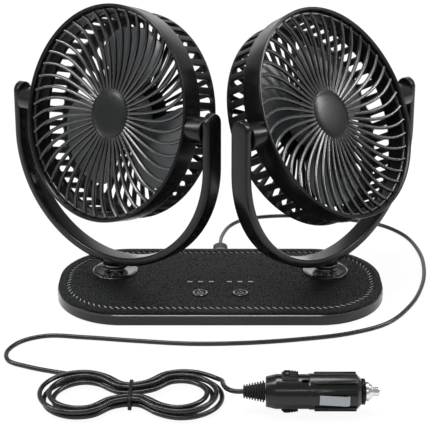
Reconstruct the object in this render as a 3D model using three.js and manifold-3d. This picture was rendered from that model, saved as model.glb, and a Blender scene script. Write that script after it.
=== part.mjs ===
// Dual head car fan: two tilting, swivelling fans on a leather-topped base, with a cord and a 12 V plug.
// Millimetres, +Z up. The origin is at the middle of the base, on the surface it stands on;
// -Y is the side with the buttons and +Y the side where the cord leaves.
import * as THREE from 'three';
import { mergeVertices } from 'three/addons/utils/BufferGeometryUtils.js';
import Module from 'manifold-3d';

const wasm = await Module();
wasm.setup();

const { cos, sin, PI } = Math;
const TURN = 2 * PI;
const DEG = PI / 180;

// Shared clearances
const SEAT_GAP = 0.3; // between pieces that touch
const RUN_GAP = 0.6; // between pieces that move past each other
const OVERRUN = 2; // how far a cut runs past the piece it cuts

// Base: tray, lid, leather pad and grip sheet
const BASE = { end: 39, depth: 108 };
const CORNER_SHARE = 8 / 9; // of half the depth of the base
const TRAY = { height: 8.7, wall: 2.4, floor: 1.2, ledge: 1.6 };
const GRIP = { thickness: 1.2, proud: 0.6, margin: 9 };
const LID = { thickness: 1.8 };
const PAD = { thickness: 1.2, inset: 0.5, round: 0.5 };
const POST = { radius: 3, spacing: 62, depth: 26, sides: 8 };

// Controls between the fans
const BUTTON = { radius: 5.2, spacing: 28, front: 23, proud: 0.5, dome: 0.5, travel: 0.5, flange: 1.3 };
const LIGHT = { length: 3.7, width: 1.6, pitch: 7.6, front: 4.4, bar: 0.8, count: 3 };
const BOARD = { length: 66, depth: 34, thickness: 1, front: 14 };
const SWITCH = { side: 6, height: 0.8 };

// Ball joints
const BALL = { lap: 38, back: 14.6, rise: 6.2, radius: 4.6, neck: 2.3, foot: 4.1 };
const LINER = { thickness: 0.9, low: -20 * DEG, high: 62 * DEG };
const COLLAR = { radius: 9.1, drop: 2.8, height: 2.8, edge: 0.5 };
const DISH = { radius: 16.2, rim: 13.6, well: 8.8, rise: 1.1, floor: 0.5 };
const NUT = { radius: 5.2, thickness: 1.8, sides: 6 };

// Yokes
const YOKE = { gap: 13.4, band: 13.7, wall: 6, below: 26.5, bottom: 17.4, arm: 24, tip: 12.5, edge: 0.9 };
const BOSS = { radius: 8.4, drop: 1.1 };
const PIN = { radius: 3.6, blind: 2.2, inset: 4.5 };
const HUB_BOSS = { radius: 9 };

// Fan heads, measured along the fan's own axis from the tilt axis
const HEAD = { radius: 75.6, front: 9.5, back: 7.4, lip: 2.4, wall: 3.6, round: 0.8, taper: 0.7 };
const GRILLE = { recess: 2.2, depth: 3, rim: 2.4, hub: 18, dish: 6, ribs: 44, ribFront: 1.7 };
const GRILLE_SWEEP = 10 * DEG;
const RIB_STATION_SHARES = [0, 0.55, 1]; // of the way from the hub to the rim
const HUB_RIB_SHARE = 0.72; // width of a rib at the hub against the rim
const SWEEP_POWER = 3; // how late along a rib it sweeps
const DISH_POWER = 1.5; // how late the grille dishes towards the hub
const CAP = { radius: 16.9, rise: 1.1, edge: 0.7 };
const CAGE = { step: 2.4, depth: 22.6, wall: 2.2, corner: 4.6, slope: 5.2, bars: 22 };
const CAGE_SLOT = { land: 4, bar: 6.5, hub: 24, hubWidth: 3.4 };
const IMPELLER = { clear: 10, hub: 15.5, wall: 2, depth: 15, back: 19, blade: 1.5, pitch: 12, blades: 3 };
const BLADE = { half: 41 * DEG, sweep: 9 * DEG, chord: 3 };
// Outline of a blade: [share of its length, share of its width]
const BLADE_SHARES = [[0, 0.62], [0.2, 0.82], [0.6, 1], [0.9, 0.8], [1, 0.4]];
const FLATTER_SHARE = 0.35; // how much flatter a blade is at its tip
const MOTOR = { radius: 12, depth: 17.5, shaft: 1.6 };

// Rest pose of each fan: yaw about the base, lean on the ball and upward tilt in the yoke
const POSE = {
  left: { side: -1, yaw: -40 * DEG, lean: 6 * DEG, tilt: 11.5 * DEG },
  right: { side: 1, yaw: 47.3 * DEG, lean: 4.2 * DEG, tilt: 25.7 * DEG },
};

// Sizes that follow from the radius of a head: the cage steps in from it, the yoke goes round it,
// and the turning circles of the two yokes lap.
const CAGE_RADIUS = HEAD.radius - CAGE.step;
const IMPELLER_RADIUS = HEAD.radius - HEAD.wall - IMPELLER.clear;
const YOKE_WIDTH = 2 * (HEAD.radius + YOKE.gap + YOKE.wall);
const PIVOT_HEIGHT = YOKE.bottom + YOKE.wall + YOKE.below + HEAD.radius;
const BALL_SPACING = YOKE_WIDTH - BALL.lap;
const BASE_LENGTH = BALL_SPACING + 2 * BASE.end;
const BASE_CORNER = BASE.depth / 2 * CORNER_SHARE;

// Angle of the first blade of each fan, seen from the front
const IMPELLER_START = { left: 88 * DEG, right: 150 * DEG };

// Cord, hank and plug
const CORD = { radius: 1.5, lift: 0.1, sides: 8, steps: 74, hankSides: 6, straight: 3.2 };
const GLAND = {
  flare: 6.6, radius: 4.3, neck: 3.6, stem: 2.9, flange: 2.6, cone: 8, length: 16, ribs: 3, groove: 0.6,
};
const GLAND_PLACE = { high: 4.4, mouth: 4 };
const HANK = { x: -54, y: -151.5, halfLength: 57, lobe: 25.5, waist: 9.7, spread: 5.8, pack: 3.62 };
const HANK_TURNS = { loops: 5, steps: 30, start: 118 * DEG, exit: 34 * DEG, lift: 2.9, layer: 3.6 };
const CLIMB_SHARE = 0.35; // of a turn, before and after the middle of the hank
const SPREAD_POWER = 4; // how near the waist the loops draw together
const TAIL = { steps: 16 };
const TIE = { width: 2.2, thickness: 0.8, corner: 3 };
const PLUG = { x: 13.6, y: -161, barrel: 10.7, lift: 0.1 };
const RELIEF = { length: 13, start: 4, end: 6.4, ribs: 8, groove: 1.1, mouth: 4 };
const RIB_SHARE = 0.55; // of the pitch of the ribs of the relief and the gland
const PLUG_BODY = { shoulder: 5.8, shoulderRadius: 8.9, length: 56.3, nose: 2.6, noseRadius: 8, wall: 2.4 };
const PLUG_STEP = { at: 25.2, height: 0.4, edge: 0.6 };
const PLUG_VENT = { at: 20.8, length: 4.6, width: 2.5, depth: 1.4, angle: 24 * DEG };
const PLUG_WING = { start: 9.3, length: 9.8, height: 1.8, width: 7.5, teeth: 3, tooth: 0.5 };
const PLUG_FIN = { length: 25, height: 0.7, width: 1.5, spacing: 25 * DEG, angle: 43.5 * DEG, count: 2 };
const CONTACT = { length: 18, width: 6.4, thickness: 0.8, proud: 1.3, end: 4.5, travel: 0.9, tab: 2.2 };
const PLUG_RING = { radius: 7.8, length: 2.1 };
const PLUG_TIP = { radius: 5.7, length: 4.1, mouth: 3.9, depth: 11 };
const PLUG_PIN = { radius: 2.7, proud: 4.6, flange: 4.2, flangeLength: 1.4, travel: 2, round: 0.9 };
const PLUG_LAMP = { radius: 1.2, height: 0.6, sunk: 1.4 };

// Facets of round pieces
const FACETS = {
  head: 36, cap: 24, dish: 20, hub: 16, ball: 16, arc: 4, lining: 3, small: 10, plug: 16, bow: 16,
  corner: 4, tie: 1,
};

const finish = (color, roughness, metalness = 0) =>
  new THREE.MeshStandardMaterial({ color, roughness, metalness });
const MATERIAL = {
  satin: finish(0x1c1d1f, 0.42),
  matt: finish(0x151617, 0.6),
  gloss: finish(0x0c0d0e, 0.12),
  leather: finish(0x191a1c, 0.72),
  rubber: finish(0x101112, 0.85),
  blade: finish(0x2b2d30, 0.45),
  cap: finish(0x3a3d3f, 0.4),
  cord: finish(0x17181a, 0.5),
  light: finish(0xc4c7ca, 0.4),
  board: finish(0x1d4a2c, 0.6),
  lamp: finish(0x8c1c24, 0.3),
  steel: finish(0xb9bcbe, 0.28, 1),
};

// Geometry helpers

function closed(geometry) {
  const bare = geometry.index ? geometry.toNonIndexed() : geometry.clone();
  for (const name of Object.keys(bare.attributes)) {
    if (name !== 'position') bare.deleteAttribute(name);
  }
  const merged = mergeVertices(bare, 1e-3);
  const index = [];
  const old = merged.index.array;
  for (let i = 0; i < old.length; i += 3) {
    const [a, b, c] = [old[i], old[i + 1], old[i + 2]];
    if (a !== b && b !== c && c !== a) index.push(a, b, c);
  }
  merged.setIndex(index);
  return volume(merged) < 0 ? flipped(merged) : merged;
}

function volume(geometry) {
  const p = geometry.attributes.position;
  const index = geometry.index.array;
  const [a, b, c] = [new THREE.Vector3(), new THREE.Vector3(), new THREE.Vector3()];
  let sum = 0;
  for (let i = 0; i < index.length; i += 3) {
    a.fromBufferAttribute(p, index[i]);
    b.fromBufferAttribute(p, index[i + 1]);
    c.fromBufferAttribute(p, index[i + 2]);
    sum += a.dot(b.cross(c));
  }
  return sum / 6;
}

function flipped(geometry) {
  const index = Array.from(geometry.index.array);
  for (let i = 0; i < index.length; i += 3) {
    [index[i], index[i + 1]] = [index[i + 1], index[i]];
  }
  geometry.setIndex(index);
  return geometry;
}

function solid(geometry) {
  const shape = closed(geometry);
  return new wasm.Manifold(new wasm.Mesh({
    numProp: 3,
    vertProperties: new Float32Array(shape.attributes.position.array),
    triVerts: new Uint32Array(shape.index.array),
  }));
}

function fromSolid(body) {
  const mesh = body.getMesh();
  const geometry = new THREE.BufferGeometry();
  geometry.setAttribute('position', new THREE.BufferAttribute(new Float32Array(mesh.vertProperties), 3));
  geometry.setIndex(Array.from(mesh.triVerts));
  return geometry;
}

const union = (first, ...rest) => rest.reduce((sum, next) => sum.add(next), first);
const cutAway = (first, ...rest) => rest.reduce((left, next) => left.subtract(next), first);

// A revolve about Z of points [radius, height]; a profile off the axis closes on itself.
function revolve(points, facets = FACETS.head) {
  const ring = points.map(([r, z]) => new THREE.Vector2(r, z));
  const onAxis = points[0][0] === 0 && points[points.length - 1][0] === 0;
  if (!onAxis) ring.push(ring[0].clone());
  return new THREE.LatheGeometry(ring, facets).rotateX(PI / 2);
}

// A round bar about Z between two heights.
const bar = (radius, low, high, facets = FACETS.small) =>
  revolve([[0, low], [radius, low], [radius, high], [0, high]], facets);

// Turns a piece made about Z so that its axis lies along X.
const alongX = (geometry) => geometry.rotateY(PI / 2);

function box(x0, x1, y0, y1, z0, z1) {
  return new THREE.BoxGeometry(x1 - x0, y1 - y0, z1 - z0)
    .translate((x0 + x1) / 2, (y0 + y1) / 2, (z0 + z1) / 2);
}

function prism(shape, low, high, curveSegments = FACETS.corner) {
  return new THREE.ExtrudeGeometry(shape, { depth: high - low, bevelEnabled: false, curveSegments })
    .translate(0, 0, low);
}

function roundedRect(length, depth, corner, inset = 0) {
  const [x, y, r] = [length / 2 - inset, depth / 2 - inset, corner - inset];
  const shape = new THREE.Shape();
  shape.absarc(x - r, -y + r, r, -PI / 2, 0);
  shape.absarc(x - r, y - r, r, 0, PI / 2);
  shape.absarc(-x + r, y - r, r, PI / 2, PI);
  shape.absarc(-x + r, -y + r, r, PI, 1.5 * PI);
  shape.closePath();
  return shape;
}

const baseOutline = (inset) => roundedRect(BASE_LENGTH, BASE.depth, BASE_CORNER, inset);

function part(name, geometry, material) {
  const mesh = new THREE.Mesh(closed(geometry), material);
  mesh.name = name;
  return mesh;
}

// Heights of the base, from the surface it stands on

const TRAY_TOP = TRAY.height;
const TRAY_BOTTOM = GRIP.proud;
const RECESS_TOP = TRAY_BOTTOM + GRIP.thickness - GRIP.proud;
const FLOOR_TOP = RECESS_TOP + TRAY.floor;
const LID_LOW = TRAY_TOP - LID.thickness;
const PAD_LOW = TRAY_TOP + SEAT_GAP;
const PAD_TOP = PAD_LOW + PAD.thickness;
const BALL_HEIGHT = PAD_TOP + BALL.rise;
const BOARD_LOW = FLOOR_TOP + SEAT_GAP;
const BOARD_TOP = BOARD_LOW + BOARD.thickness;

const ballPlaces = [-1, 1].map((side) => [side * BALL_SPACING / 2, BALL.back]);
const buttonPlaces = [-1, 1].map((side) => [side * BUTTON.spacing / 2, -BUTTON.front]);
const lightOffsets = [...Array(LIGHT.count).keys()].map((i) => (i - (LIGHT.count - 1) / 2) * LIGHT.pitch);

const at = (geometry, [x, y]) => geometry.translate(x, y, 0);

// Tray: a moulded shell with a ledge for the lid, posts, a recess for the grip sheet and a cord port.
function tray() {
  const body = solid(prism(baseOutline(0), TRAY_BOTTOM, TRAY_TOP));
  const lidPocket = solid(prism(baseOutline(TRAY.wall), LID_LOW - SEAT_GAP, TRAY_TOP + OVERRUN));
  const inner = solid(prism(baseOutline(TRAY.wall + TRAY.ledge), FLOOR_TOP, TRAY_TOP + OVERRUN));
  const recess = solid(prism(baseOutline(GRIP.margin), TRAY_BOTTOM - OVERRUN, RECESS_TOP));
  const port = solid(bar(GLAND.stem + SEAT_GAP, -TRAY.wall - TRAY.ledge - OVERRUN, OVERRUN)
    .scale(GLAND.flare / GLAND.radius, 1, 1).rotateX(-PI / 2).translate(0, BASE.depth / 2, GLAND_PLACE.high));
  const posts = [-1, 1].flatMap((sx) => [-1, 1].map((sy) => solid(at(
    bar(POST.radius, FLOOR_TOP - SEAT_GAP, LID_LOW - SEAT_GAP, POST.sides),
    [sx * POST.spacing, sy * POST.depth]))));
  return fromSolid(union(cutAway(body, lidPocket, inner, recess, port), ...posts));
}

// Gripping sheet under the tray, a little proud of it.
const gripSheet = () => prism(baseOutline(GRIP.margin + SEAT_GAP), 0, GRIP.thickness - SEAT_GAP);

const lightHole = ([x, y], grow, low, high) => box(
  x - LIGHT.length / 2 - grow, x + LIGHT.length / 2 + grow,
  y - LIGHT.width / 2 - grow, y + LIGHT.width / 2 + grow, low, high);

const lightPlaces = (side) => lightOffsets.map((dx) => [side * BUTTON.spacing / 2 + dx, -LIGHT.front]);

// Holes that the lid and the pad share for the studs, buttons and lights.
function topCuts(low, high) {
  return [
    ...ballPlaces.map((place) => solid(at(bar(BALL.foot + SEAT_GAP, low, high), place))),
    ...buttonPlaces.map((place) => solid(at(bar(BUTTON.radius + SEAT_GAP, low, high, FACETS.ball), place))),
    ...[-1, 1].flatMap(lightPlaces).map((place) => solid(lightHole(place, SEAT_GAP, low, high))),
  ];
}

function lid() {
  const plate = solid(prism(baseOutline(TRAY.wall + SEAT_GAP), LID_LOW, TRAY_TOP));
  return fromSolid(cutAway(plate, ...topCuts(LID_LOW - OVERRUN, TRAY_TOP + OVERRUN)));
}

function pad() {
  const inset = PAD.inset + PAD.round;
  const sheet = new THREE.ExtrudeGeometry(baseOutline(inset), {
    depth: PAD.thickness - PAD.round,
    bevelEnabled: true,
    bevelThickness: PAD.round,
    bevelSize: PAD.round,
    bevelSegments: 1,
    curveSegments: FACETS.corner,
  }).translate(0, 0, PAD_LOW);
  const below = solid(box(-BASE_LENGTH, BASE_LENGTH, -BASE.depth, BASE.depth, PAD_LOW - PAD.round - OVERRUN,
    PAD_LOW));
  return fromSolid(cutAway(solid(sheet), below, ...topCuts(PAD_LOW - OVERRUN, PAD_TOP + OVERRUN)));
}

// Button: a domed key whose flange stays under the lid.
function button() {
  const top = PAD_TOP + BUTTON.proud;
  const flangeTop = LID_LOW - SEAT_GAP;
  const flangeLow = flangeTop - BUTTON.flange / 2;
  const wide = BUTTON.radius + BUTTON.flange;
  return revolve([[0, flangeLow], [wide, flangeLow], [wide, flangeTop], [BUTTON.radius, flangeTop],
    [BUTTON.radius, top - BUTTON.dome], [BUTTON.radius - BUTTON.dome, top - BUTTON.dome / 2],
    [BUTTON.radius / 2, top], [0, top]], FACETS.ball);
}

const SWITCH_TOP = LID_LOW - SEAT_GAP - BUTTON.flange / 2 - BUTTON.travel - SEAT_GAP;

function pushSwitch() {
  const half = SWITCH.side / 2;
  const bodyTop = BOARD_TOP + SEAT_GAP + SWITCH.height;
  const body = solid(box(-half, half, -half, half, BOARD_TOP + SEAT_GAP, bodyTop));
  const stem = solid(bar(half / 2, bodyTop - SEAT_GAP, SWITCH_TOP));
  return fromSolid(union(body, stem));
}

// Light guide: a bar under the lid with one window for each light.
function lightGuide(side) {
  const half = (LIGHT.pitch * (LIGHT.count - 1) + LIGHT.length) / 2;
  const low = LID_LOW - SEAT_GAP - LIGHT.bar;
  const middle = side * BUTTON.spacing / 2;
  const rail = solid(box(middle - half, middle + half, -LIGHT.front - LIGHT.width / 2,
    -LIGHT.front + LIGHT.width / 2, low, LID_LOW - SEAT_GAP));
  const windowLow = LID_LOW - 2 * SEAT_GAP;
  const windows = lightPlaces(side).map((place) => solid(lightHole(place, 0, windowLow, PAD_TOP)));
  const foot = solid(box(middle - LIGHT.width / 2, middle + LIGHT.width / 2, -LIGHT.front - LIGHT.width / 2,
    -LIGHT.front + LIGHT.width / 2, BOARD_TOP + SEAT_GAP, low + SEAT_GAP));
  return fromSolid(union(rail, foot, ...windows));
}

// The board lies on the floor of the tray, under the buttons and lights.
const board = () => box(-BOARD.length / 2, BOARD.length / 2, -BOARD.front - BOARD.depth / 2,
  -BOARD.front + BOARD.depth / 2, BOARD_LOW, BOARD_TOP);

// Ball joint on the base: a glossy dish, a stud with a ball, and the nut that holds them to the lid.
function dish() {
  const low = PAD_TOP + SEAT_GAP / 2;
  const hole = BALL.neck + SEAT_GAP;
  return revolve([[hole, low], [DISH.radius, low], [DISH.radius, low + DISH.floor],
    [DISH.radius - DISH.rise, low + DISH.rise], [DISH.rim, low + DISH.rise], [DISH.well, low + DISH.floor],
    [hole, low + DISH.floor]], FACETS.dish);
}

const arcPoints = (radius, from, to, count) => [...Array(count + 1).keys()].map((i) => {
  const angle = from + (to - from) * i / count;
  return [radius * cos(angle), BALL_HEIGHT + radius * sin(angle)];
});

function ballStud() {
  const footLow = PAD_TOP + SEAT_GAP / 2 + DISH.floor + SEAT_GAP;
  const footHigh = footLow + BALL.neck / 4;
  const neckAngle = -Math.acos(BALL.neck / BALL.radius);
  const ball = arcPoints(BALL.radius, neckAngle, PI / 2, FACETS.arc);
  ball[ball.length - 1][0] = 0;
  const low = LID_LOW - SEAT_GAP - NUT.thickness;
  return revolve([[0, low], [BALL.neck, low], [BALL.neck, footLow], [BALL.foot, footLow],
    [BALL.foot, footHigh], [BALL.neck, footHigh + BALL.neck / 4], ...ball], FACETS.ball);
}

const studNut = () => {
  const high = LID_LOW - SEAT_GAP;
  const hole = (BALL.neck + SEAT_GAP) / cos(PI / NUT.sides);
  return revolve([[hole, high - NUT.thickness], [NUT.radius, high - NUT.thickness], [NUT.radius, high],
    [hole, high]], NUT.sides);
};

// Half-shell between the ball and its socket; it turns with the yoke.
function liner() {
  const inner = BALL.radius + SEAT_GAP;
  const outside = arcPoints(inner + LINER.thickness, LINER.low, LINER.high, FACETS.lining);
  const inside = arcPoints(inner, LINER.high, LINER.low, FACETS.lining);
  return revolve([...outside, ...inside], FACETS.ball);
}

const SOCKET_RADIUS = BALL.radius + SEAT_GAP + LINER.thickness + SEAT_GAP;

function socketBall() {
  const sphere = arcPoints(SOCKET_RADIUS, -PI / 2, PI / 2, FACETS.ball / 2);
  sphere[0][0] = 0;
  sphere[sphere.length - 1][0] = 0;
  return solid(revolve(sphere, FACETS.ball));
}

// Collar screwed under the yoke; its rounded bore keeps the ball in.
function collar() {
  const low = BALL_HEIGHT - COLLAR.drop;
  const high = low + COLLAR.height;
  const edge = COLLAR.edge;
  const blank = solid(revolve([[0, low], [COLLAR.radius - edge, low], [COLLAR.radius, low + edge],
    [COLLAR.radius, high - edge], [COLLAR.radius - edge, high], [0, high]], FACETS.ball));
  return fromSolid(cutAway(blank, socketBall()));
}

// Yoke, in its own frame: X along the tilt axis, -Y to the front, Z up from the tilt axis.

function yokeOutline(inset) {
  const half = YOKE_WIDTH / 2 - inset;
  const drop = PIVOT_HEIGHT - YOKE.bottom - YOKE.arm - inset;
  const shape = [];
  for (let i = 0; i <= FACETS.bow; i++) {
    const angle = PI + PI * i / FACETS.bow;
    shape.push([half * cos(angle), -YOKE.arm + drop * sin(angle)]);
  }
  return shape;
}

function yoke() {
  const top = YOKE.tip;
  const outer = yokeOutline(0);
  const inner = yokeOutline(YOKE.wall).reverse();
  const half = YOKE_WIDTH / 2;
  const points = [[-half, top], ...outer, [half, top], [half - YOKE.wall, top], ...inner,
    [-half + YOKE.wall, top]];
  const shape = new THREE.Shape(points.map(([x, z]) => new THREE.Vector2(x, z)));
  const depth = YOKE.band - 2 * YOKE.edge;
  const band = solid(new THREE.ExtrudeGeometry(shape, {
    depth,
    bevelEnabled: true,
    bevelThickness: YOKE.edge,
    bevelSize: YOKE.edge,
    bevelOffset: -YOKE.edge,
    bevelSegments: 1,
  }).translate(0, 0, -depth / 2).rotateX(PI / 2));
  const side = new THREE.Shape();
  const radius = YOKE.band / 2 + YOKE.edge / 4;
  side.absarc(0, top - radius, radius, 0, PI);
  side.lineTo(-radius, -PIVOT_HEIGHT);
  side.lineTo(radius, -PIVOT_HEIGHT);
  side.closePath();
  const rounded = solid(prism(side, -YOKE_WIDTH, YOKE_WIDTH, FACETS.corner).rotateX(PI / 2).rotateZ(PI / 2));
  const ballBelow = BALL_HEIGHT - PIVOT_HEIGHT;
  const bossLow = ballBelow - COLLAR.drop + COLLAR.height + SEAT_GAP;
  const bossHigh = YOKE.bottom - PIVOT_HEIGHT + YOKE.wall / 2;
  const boss = solid(bar(BOSS.radius, bossLow, bossHigh, FACETS.ball));
  const bore = PIN.radius + SEAT_GAP;
  const blind = half - PIN.blind;
  const bores = [-1, 1].map((s) => solid(alongX(bar(bore, half - YOKE.wall - OVERRUN, blind))
    .scale(s, 1, 1)));
  const socket = socketBall().translate([0, 0, -PIVOT_HEIGHT]);
  return fromSolid(cutAway(union(band.intersect(rounded), boss), socket, ...bores));
}

// Fan head, in its own frame: Z forward along the fan's axis, X along the tilt axis, Y up.

const ARM_FACE = YOKE_WIDTH / 2 - YOKE.wall;
const BOSS_FACE = ARM_FACE - RUN_GAP;
const DUCT = HEAD.radius - HEAD.wall;
const GRILLE_TOP = HEAD.front - GRILLE.recess;
const GRILLE_RADIUS = HEAD.radius - HEAD.lip - SEAT_GAP;
const GRILLE_LEDGE = GRILLE_TOP - GRILLE.depth - SEAT_GAP;

function shroud() {
  const { radius, front, back, lip, round, taper } = HEAD;
  const ring = solid(revolve([
    [DUCT, -back], [radius - taper, -back], [radius, front - round], [radius - round, front],
    [radius - lip, front], [radius - lip, GRILLE_LEDGE], [DUCT, GRILLE_LEDGE],
  ]));
  const core = solid(bar(DUCT + HEAD.wall / 2, -CAGE.depth - back, front + OVERRUN, FACETS.head));
  const bosses = [-1, 1].map((s) => solid(alongX(bar(HUB_BOSS.radius, DUCT, BOSS_FACE, FACETS.ball))
    .scale(s, 1, 1)).subtract(core));
  const bore = PIN.radius + SEAT_GAP;
  const bores = [-1, 1].map((s) => solid(alongX(bar(bore, HEAD.radius + PIN.inset / 4, BOSS_FACE + OVERRUN))
    .scale(s, 1, 1)));
  return fromSolid(cutAway(union(ring, ...bosses), ...bores));
}

// Tilt pin: fixed in the boss of the head, turning in the blind bore of the yoke's arm.
const pin = (side) => alongX(bar(PIN.radius, HEAD.radius + PIN.inset / 4 + SEAT_GAP,
  YOKE_WIDTH / 2 - PIN.blind - SEAT_GAP)).scale(side, 1, 1);

// Grille: a hub plate and a rim joined by ribs that sweep at the outer end, dished towards the hub.
function grille() {
  const outerHole = GRILLE_RADIUS - GRILLE.rim;
  const share = (r) => Math.min(Math.max((r - GRILLE.hub) / (outerHole - GRILLE.hub), 0), 1);
  const pitch = TURN / GRILLE.ribs;
  const halfRib = (r) => GRILLE.ribFront / r / 2 * (HUB_RIB_SHARE + (1 - HUB_RIB_SHARE) * share(r));
  const vertices = [];
  const vertex = (r, angle, back) => {
    const height = GRILLE_TOP - GRILLE.dish * (1 - share(r) ** DISH_POWER) - (back ? GRILLE.depth : 0);
    return vertices.push([r * cos(angle), r * sin(angle), height]) - 1;
  };
  // Both edges of each rib at each station, then the rim, on the front and the back.
  const radii = RIB_STATION_SHARES.map((s) => GRILLE.hub + s * (outerHole - GRILLE.hub));
  const layers = [false, true].map((back) => ({
    centre: vertex(0, 0, back),
    ribs: [...Array(GRILLE.ribs).keys()].map((i) => radii.map((r) => {
      const angle = i * pitch + GRILLE_SWEEP * share(r) ** SWEEP_POWER;
      return [vertex(r, angle - halfRib(r), back), vertex(r, angle + halfRib(r), back)];
    })),
    rim: [...Array(GRILLE.ribs).keys()].map((i) => vertex(GRILLE_RADIUS, i * pitch + GRILLE_SWEEP, back)),
  }));
  const index = [];
  const quad = (a, b, c, d) => index.push(a, b, c, a, c, d);
  const last = radii.length - 1;
  const next = (i) => (i + 1) % GRILLE.ribs;
  const [front, back] = layers;
  for (const [{ centre, ribs, rim }, flip] of [[front, false], [back, true]]) {
    const face = (...corners) => index.push(...(flip ? corners.reverse() : corners));
    ribs.forEach((rib, i) => {
      const after = ribs[next(i)];
      face(centre, rib[0][0], rib[0][1]);
      face(centre, rib[0][1], after[0][0]);
      for (let k = 0; k < last; k++) {
        face(rib[k][0], rib[k + 1][0], rib[k + 1][1]);
        face(rib[k][0], rib[k + 1][1], rib[k][1]);
      }
      face(rib[last][0], rim[i], rib[last][1]);
      face(rib[last][1], rim[i], rim[next(i)]);
      face(rib[last][1], rim[next(i)], after[last][0]);
    });
  }
  front.ribs.forEach((rib, i) => {
    const under = back.ribs[i];
    const after = front.ribs[next(i)];
    const afterUnder = back.ribs[next(i)];
    for (let k = 0; k < last; k++) {
      quad(rib[k][0], under[k][0], under[k + 1][0], rib[k + 1][0]);
      quad(rib[k + 1][1], under[k + 1][1], under[k][1], rib[k][1]);
    }
    quad(rib[0][1], under[0][1], afterUnder[0][0], after[0][0]);
    quad(after[last][0], afterUnder[last][0], under[last][1], rib[last][1]);
    quad(front.rim[i], back.rim[i], back.rim[next(i)], front.rim[next(i)]);
  });
  const geometry = new THREE.BufferGeometry();
  geometry.setAttribute('position', new THREE.Float32BufferAttribute(vertices.flat(), 3));
  geometry.setIndex(index);
  return geometry;
}

const HUB_TOP = GRILLE_TOP - GRILLE.dish;

const hubCap = () => revolve([[0, HUB_TOP + SEAT_GAP], [CAP.radius, HUB_TOP + SEAT_GAP],
  [CAP.radius, HUB_TOP + SEAT_GAP + CAP.edge / 2], [CAP.radius - CAP.edge, HUB_TOP + SEAT_GAP + CAP.edge],
  [CAP.radius / 2, HUB_TOP + CAP.rise], [0, HUB_TOP + CAP.rise + CAP.edge / 2]], FACETS.cap);

// Rear cage: a shell with a row of long slots that run over the corner on to the back.
const CAGE_FRONT = -HEAD.back - SEAT_GAP;
const CAGE_BACK = CAGE_FRONT - CAGE.depth;

function cage() {
  const { wall, corner, slope, bars } = CAGE;
  const radius = CAGE_RADIUS;
  const shell = solid(revolve([
    [0, CAGE_BACK], [radius - slope, CAGE_BACK], [radius, CAGE_BACK + corner], [radius, CAGE_FRONT],
    [radius - wall, CAGE_FRONT], [radius - wall, CAGE_BACK + corner + wall / 2],
    [radius - slope - wall / 2, CAGE_BACK + wall], [0, CAGE_BACK + wall],
  ], bars));
  const pitch = TURN / bars;
  const opening = 2 * radius * Math.tan(pitch / 2) - CAGE_SLOT.bar;
  const tip = radius + OVERRUN;
  const wedge = new THREE.Shape([
    new THREE.Vector2(CAGE_SLOT.hub, -CAGE_SLOT.hubWidth / 2), new THREE.Vector2(tip, -opening / 2),
    new THREE.Vector2(tip, opening / 2), new THREE.Vector2(CAGE_SLOT.hub, CAGE_SLOT.hubWidth / 2),
  ]);
  const slot = prism(wedge, CAGE_BACK - OVERRUN, CAGE_FRONT - CAGE_SLOT.land);
  const slots = [...Array(bars).keys()].map((i) => solid(slot.clone().rotateZ((i + 1 / 2) * pitch)));
  return fromSolid(cutAway(shell, ...slots));
}

// Impeller: a cup-shaped hub with three broad blades.
const IMPELLER_BACK = CAGE_BACK + CAGE.wall + SEAT_GAP + IMPELLER.wall;

function blade(start) {
  const chord = BLADE.chord;
  const rows = BLADE_SHARES.length;
  const top = [];
  const bottom = [];
  BLADE_SHARES.forEach(([s, widthShare]) => {
    const root = IMPELLER.hub - IMPELLER.wall / 2;
    const r = root + s * (IMPELLER_RADIUS - root);
    for (let j = 0; j <= chord; j++) {
      const t = 2 * j / chord - 1;
      const angle = start + t * BLADE.half * widthShare + BLADE.sweep * s;
      const twist = IMPELLER.pitch / 2 * (1 - FLATTER_SHARE * s);
      const middle = IMPELLER_BACK + IMPELLER.depth / 2;
      const z = middle - twist * t * widthShare + IMPELLER.blade * (1 - t * t);
      top.push([r * cos(angle), r * sin(angle), z + IMPELLER.blade / 2]);
      bottom.push([r * cos(angle), r * sin(angle), z - IMPELLER.blade / 2]);
    }
  });
  const vertices = [...top, ...bottom].flat();
  const width = chord + 1;
  const base = top.length;
  const index = [];
  const quad = (a, b, c, d) => index.push(a, b, c, a, c, d);
  for (let i = 0; i < rows - 1; i++) {
    for (let j = 0; j < chord; j++) {
      const a = i * width + j;
      quad(a, a + width, a + width + 1, a + 1);
      quad(base + a, base + a + 1, base + a + width + 1, base + a + width);
    }
  }
  const last = (rows - 1) * width;
  for (let j = 0; j < chord; j++) {
    quad(j, j + 1, base + j + 1, base + j);
    quad(last + j + 1, last + j, base + last + j, base + last + j + 1);
  }
  for (let i = 0; i < rows - 1; i++) {
    const a = i * width;
    const b = a + chord;
    quad(a + width, a, base + a, base + a + width);
    quad(b, b + width, base + b + width, base + b);
  }
  const geometry = new THREE.BufferGeometry();
  geometry.setAttribute('position', new THREE.Float32BufferAttribute(vertices, 3));
  geometry.setIndex(index);
  return geometry;
}

function impeller(start) {
  const { hub, wall, depth, blades } = IMPELLER;
  const low = IMPELLER_BACK;
  const high = low + depth;
  const shaftHole = MOTOR.shaft + SEAT_GAP;
  const cup = solid(revolve([[shaftHole, high - 2 * wall], [hub - wall, high - 2 * wall], [hub - wall, low],
    [hub, low], [hub, high - wall], [hub - wall, high], [shaftHole, high]], FACETS.hub));
  const space = solid(bar(hub - wall / 2, low - OVERRUN, high + OVERRUN, FACETS.hub));
  const wings = [...Array(blades).keys()].map((i) => solid(blade(start + TURN * i / blades)).subtract(space));
  return fromSolid(union(cup, ...wings));
}

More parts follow.
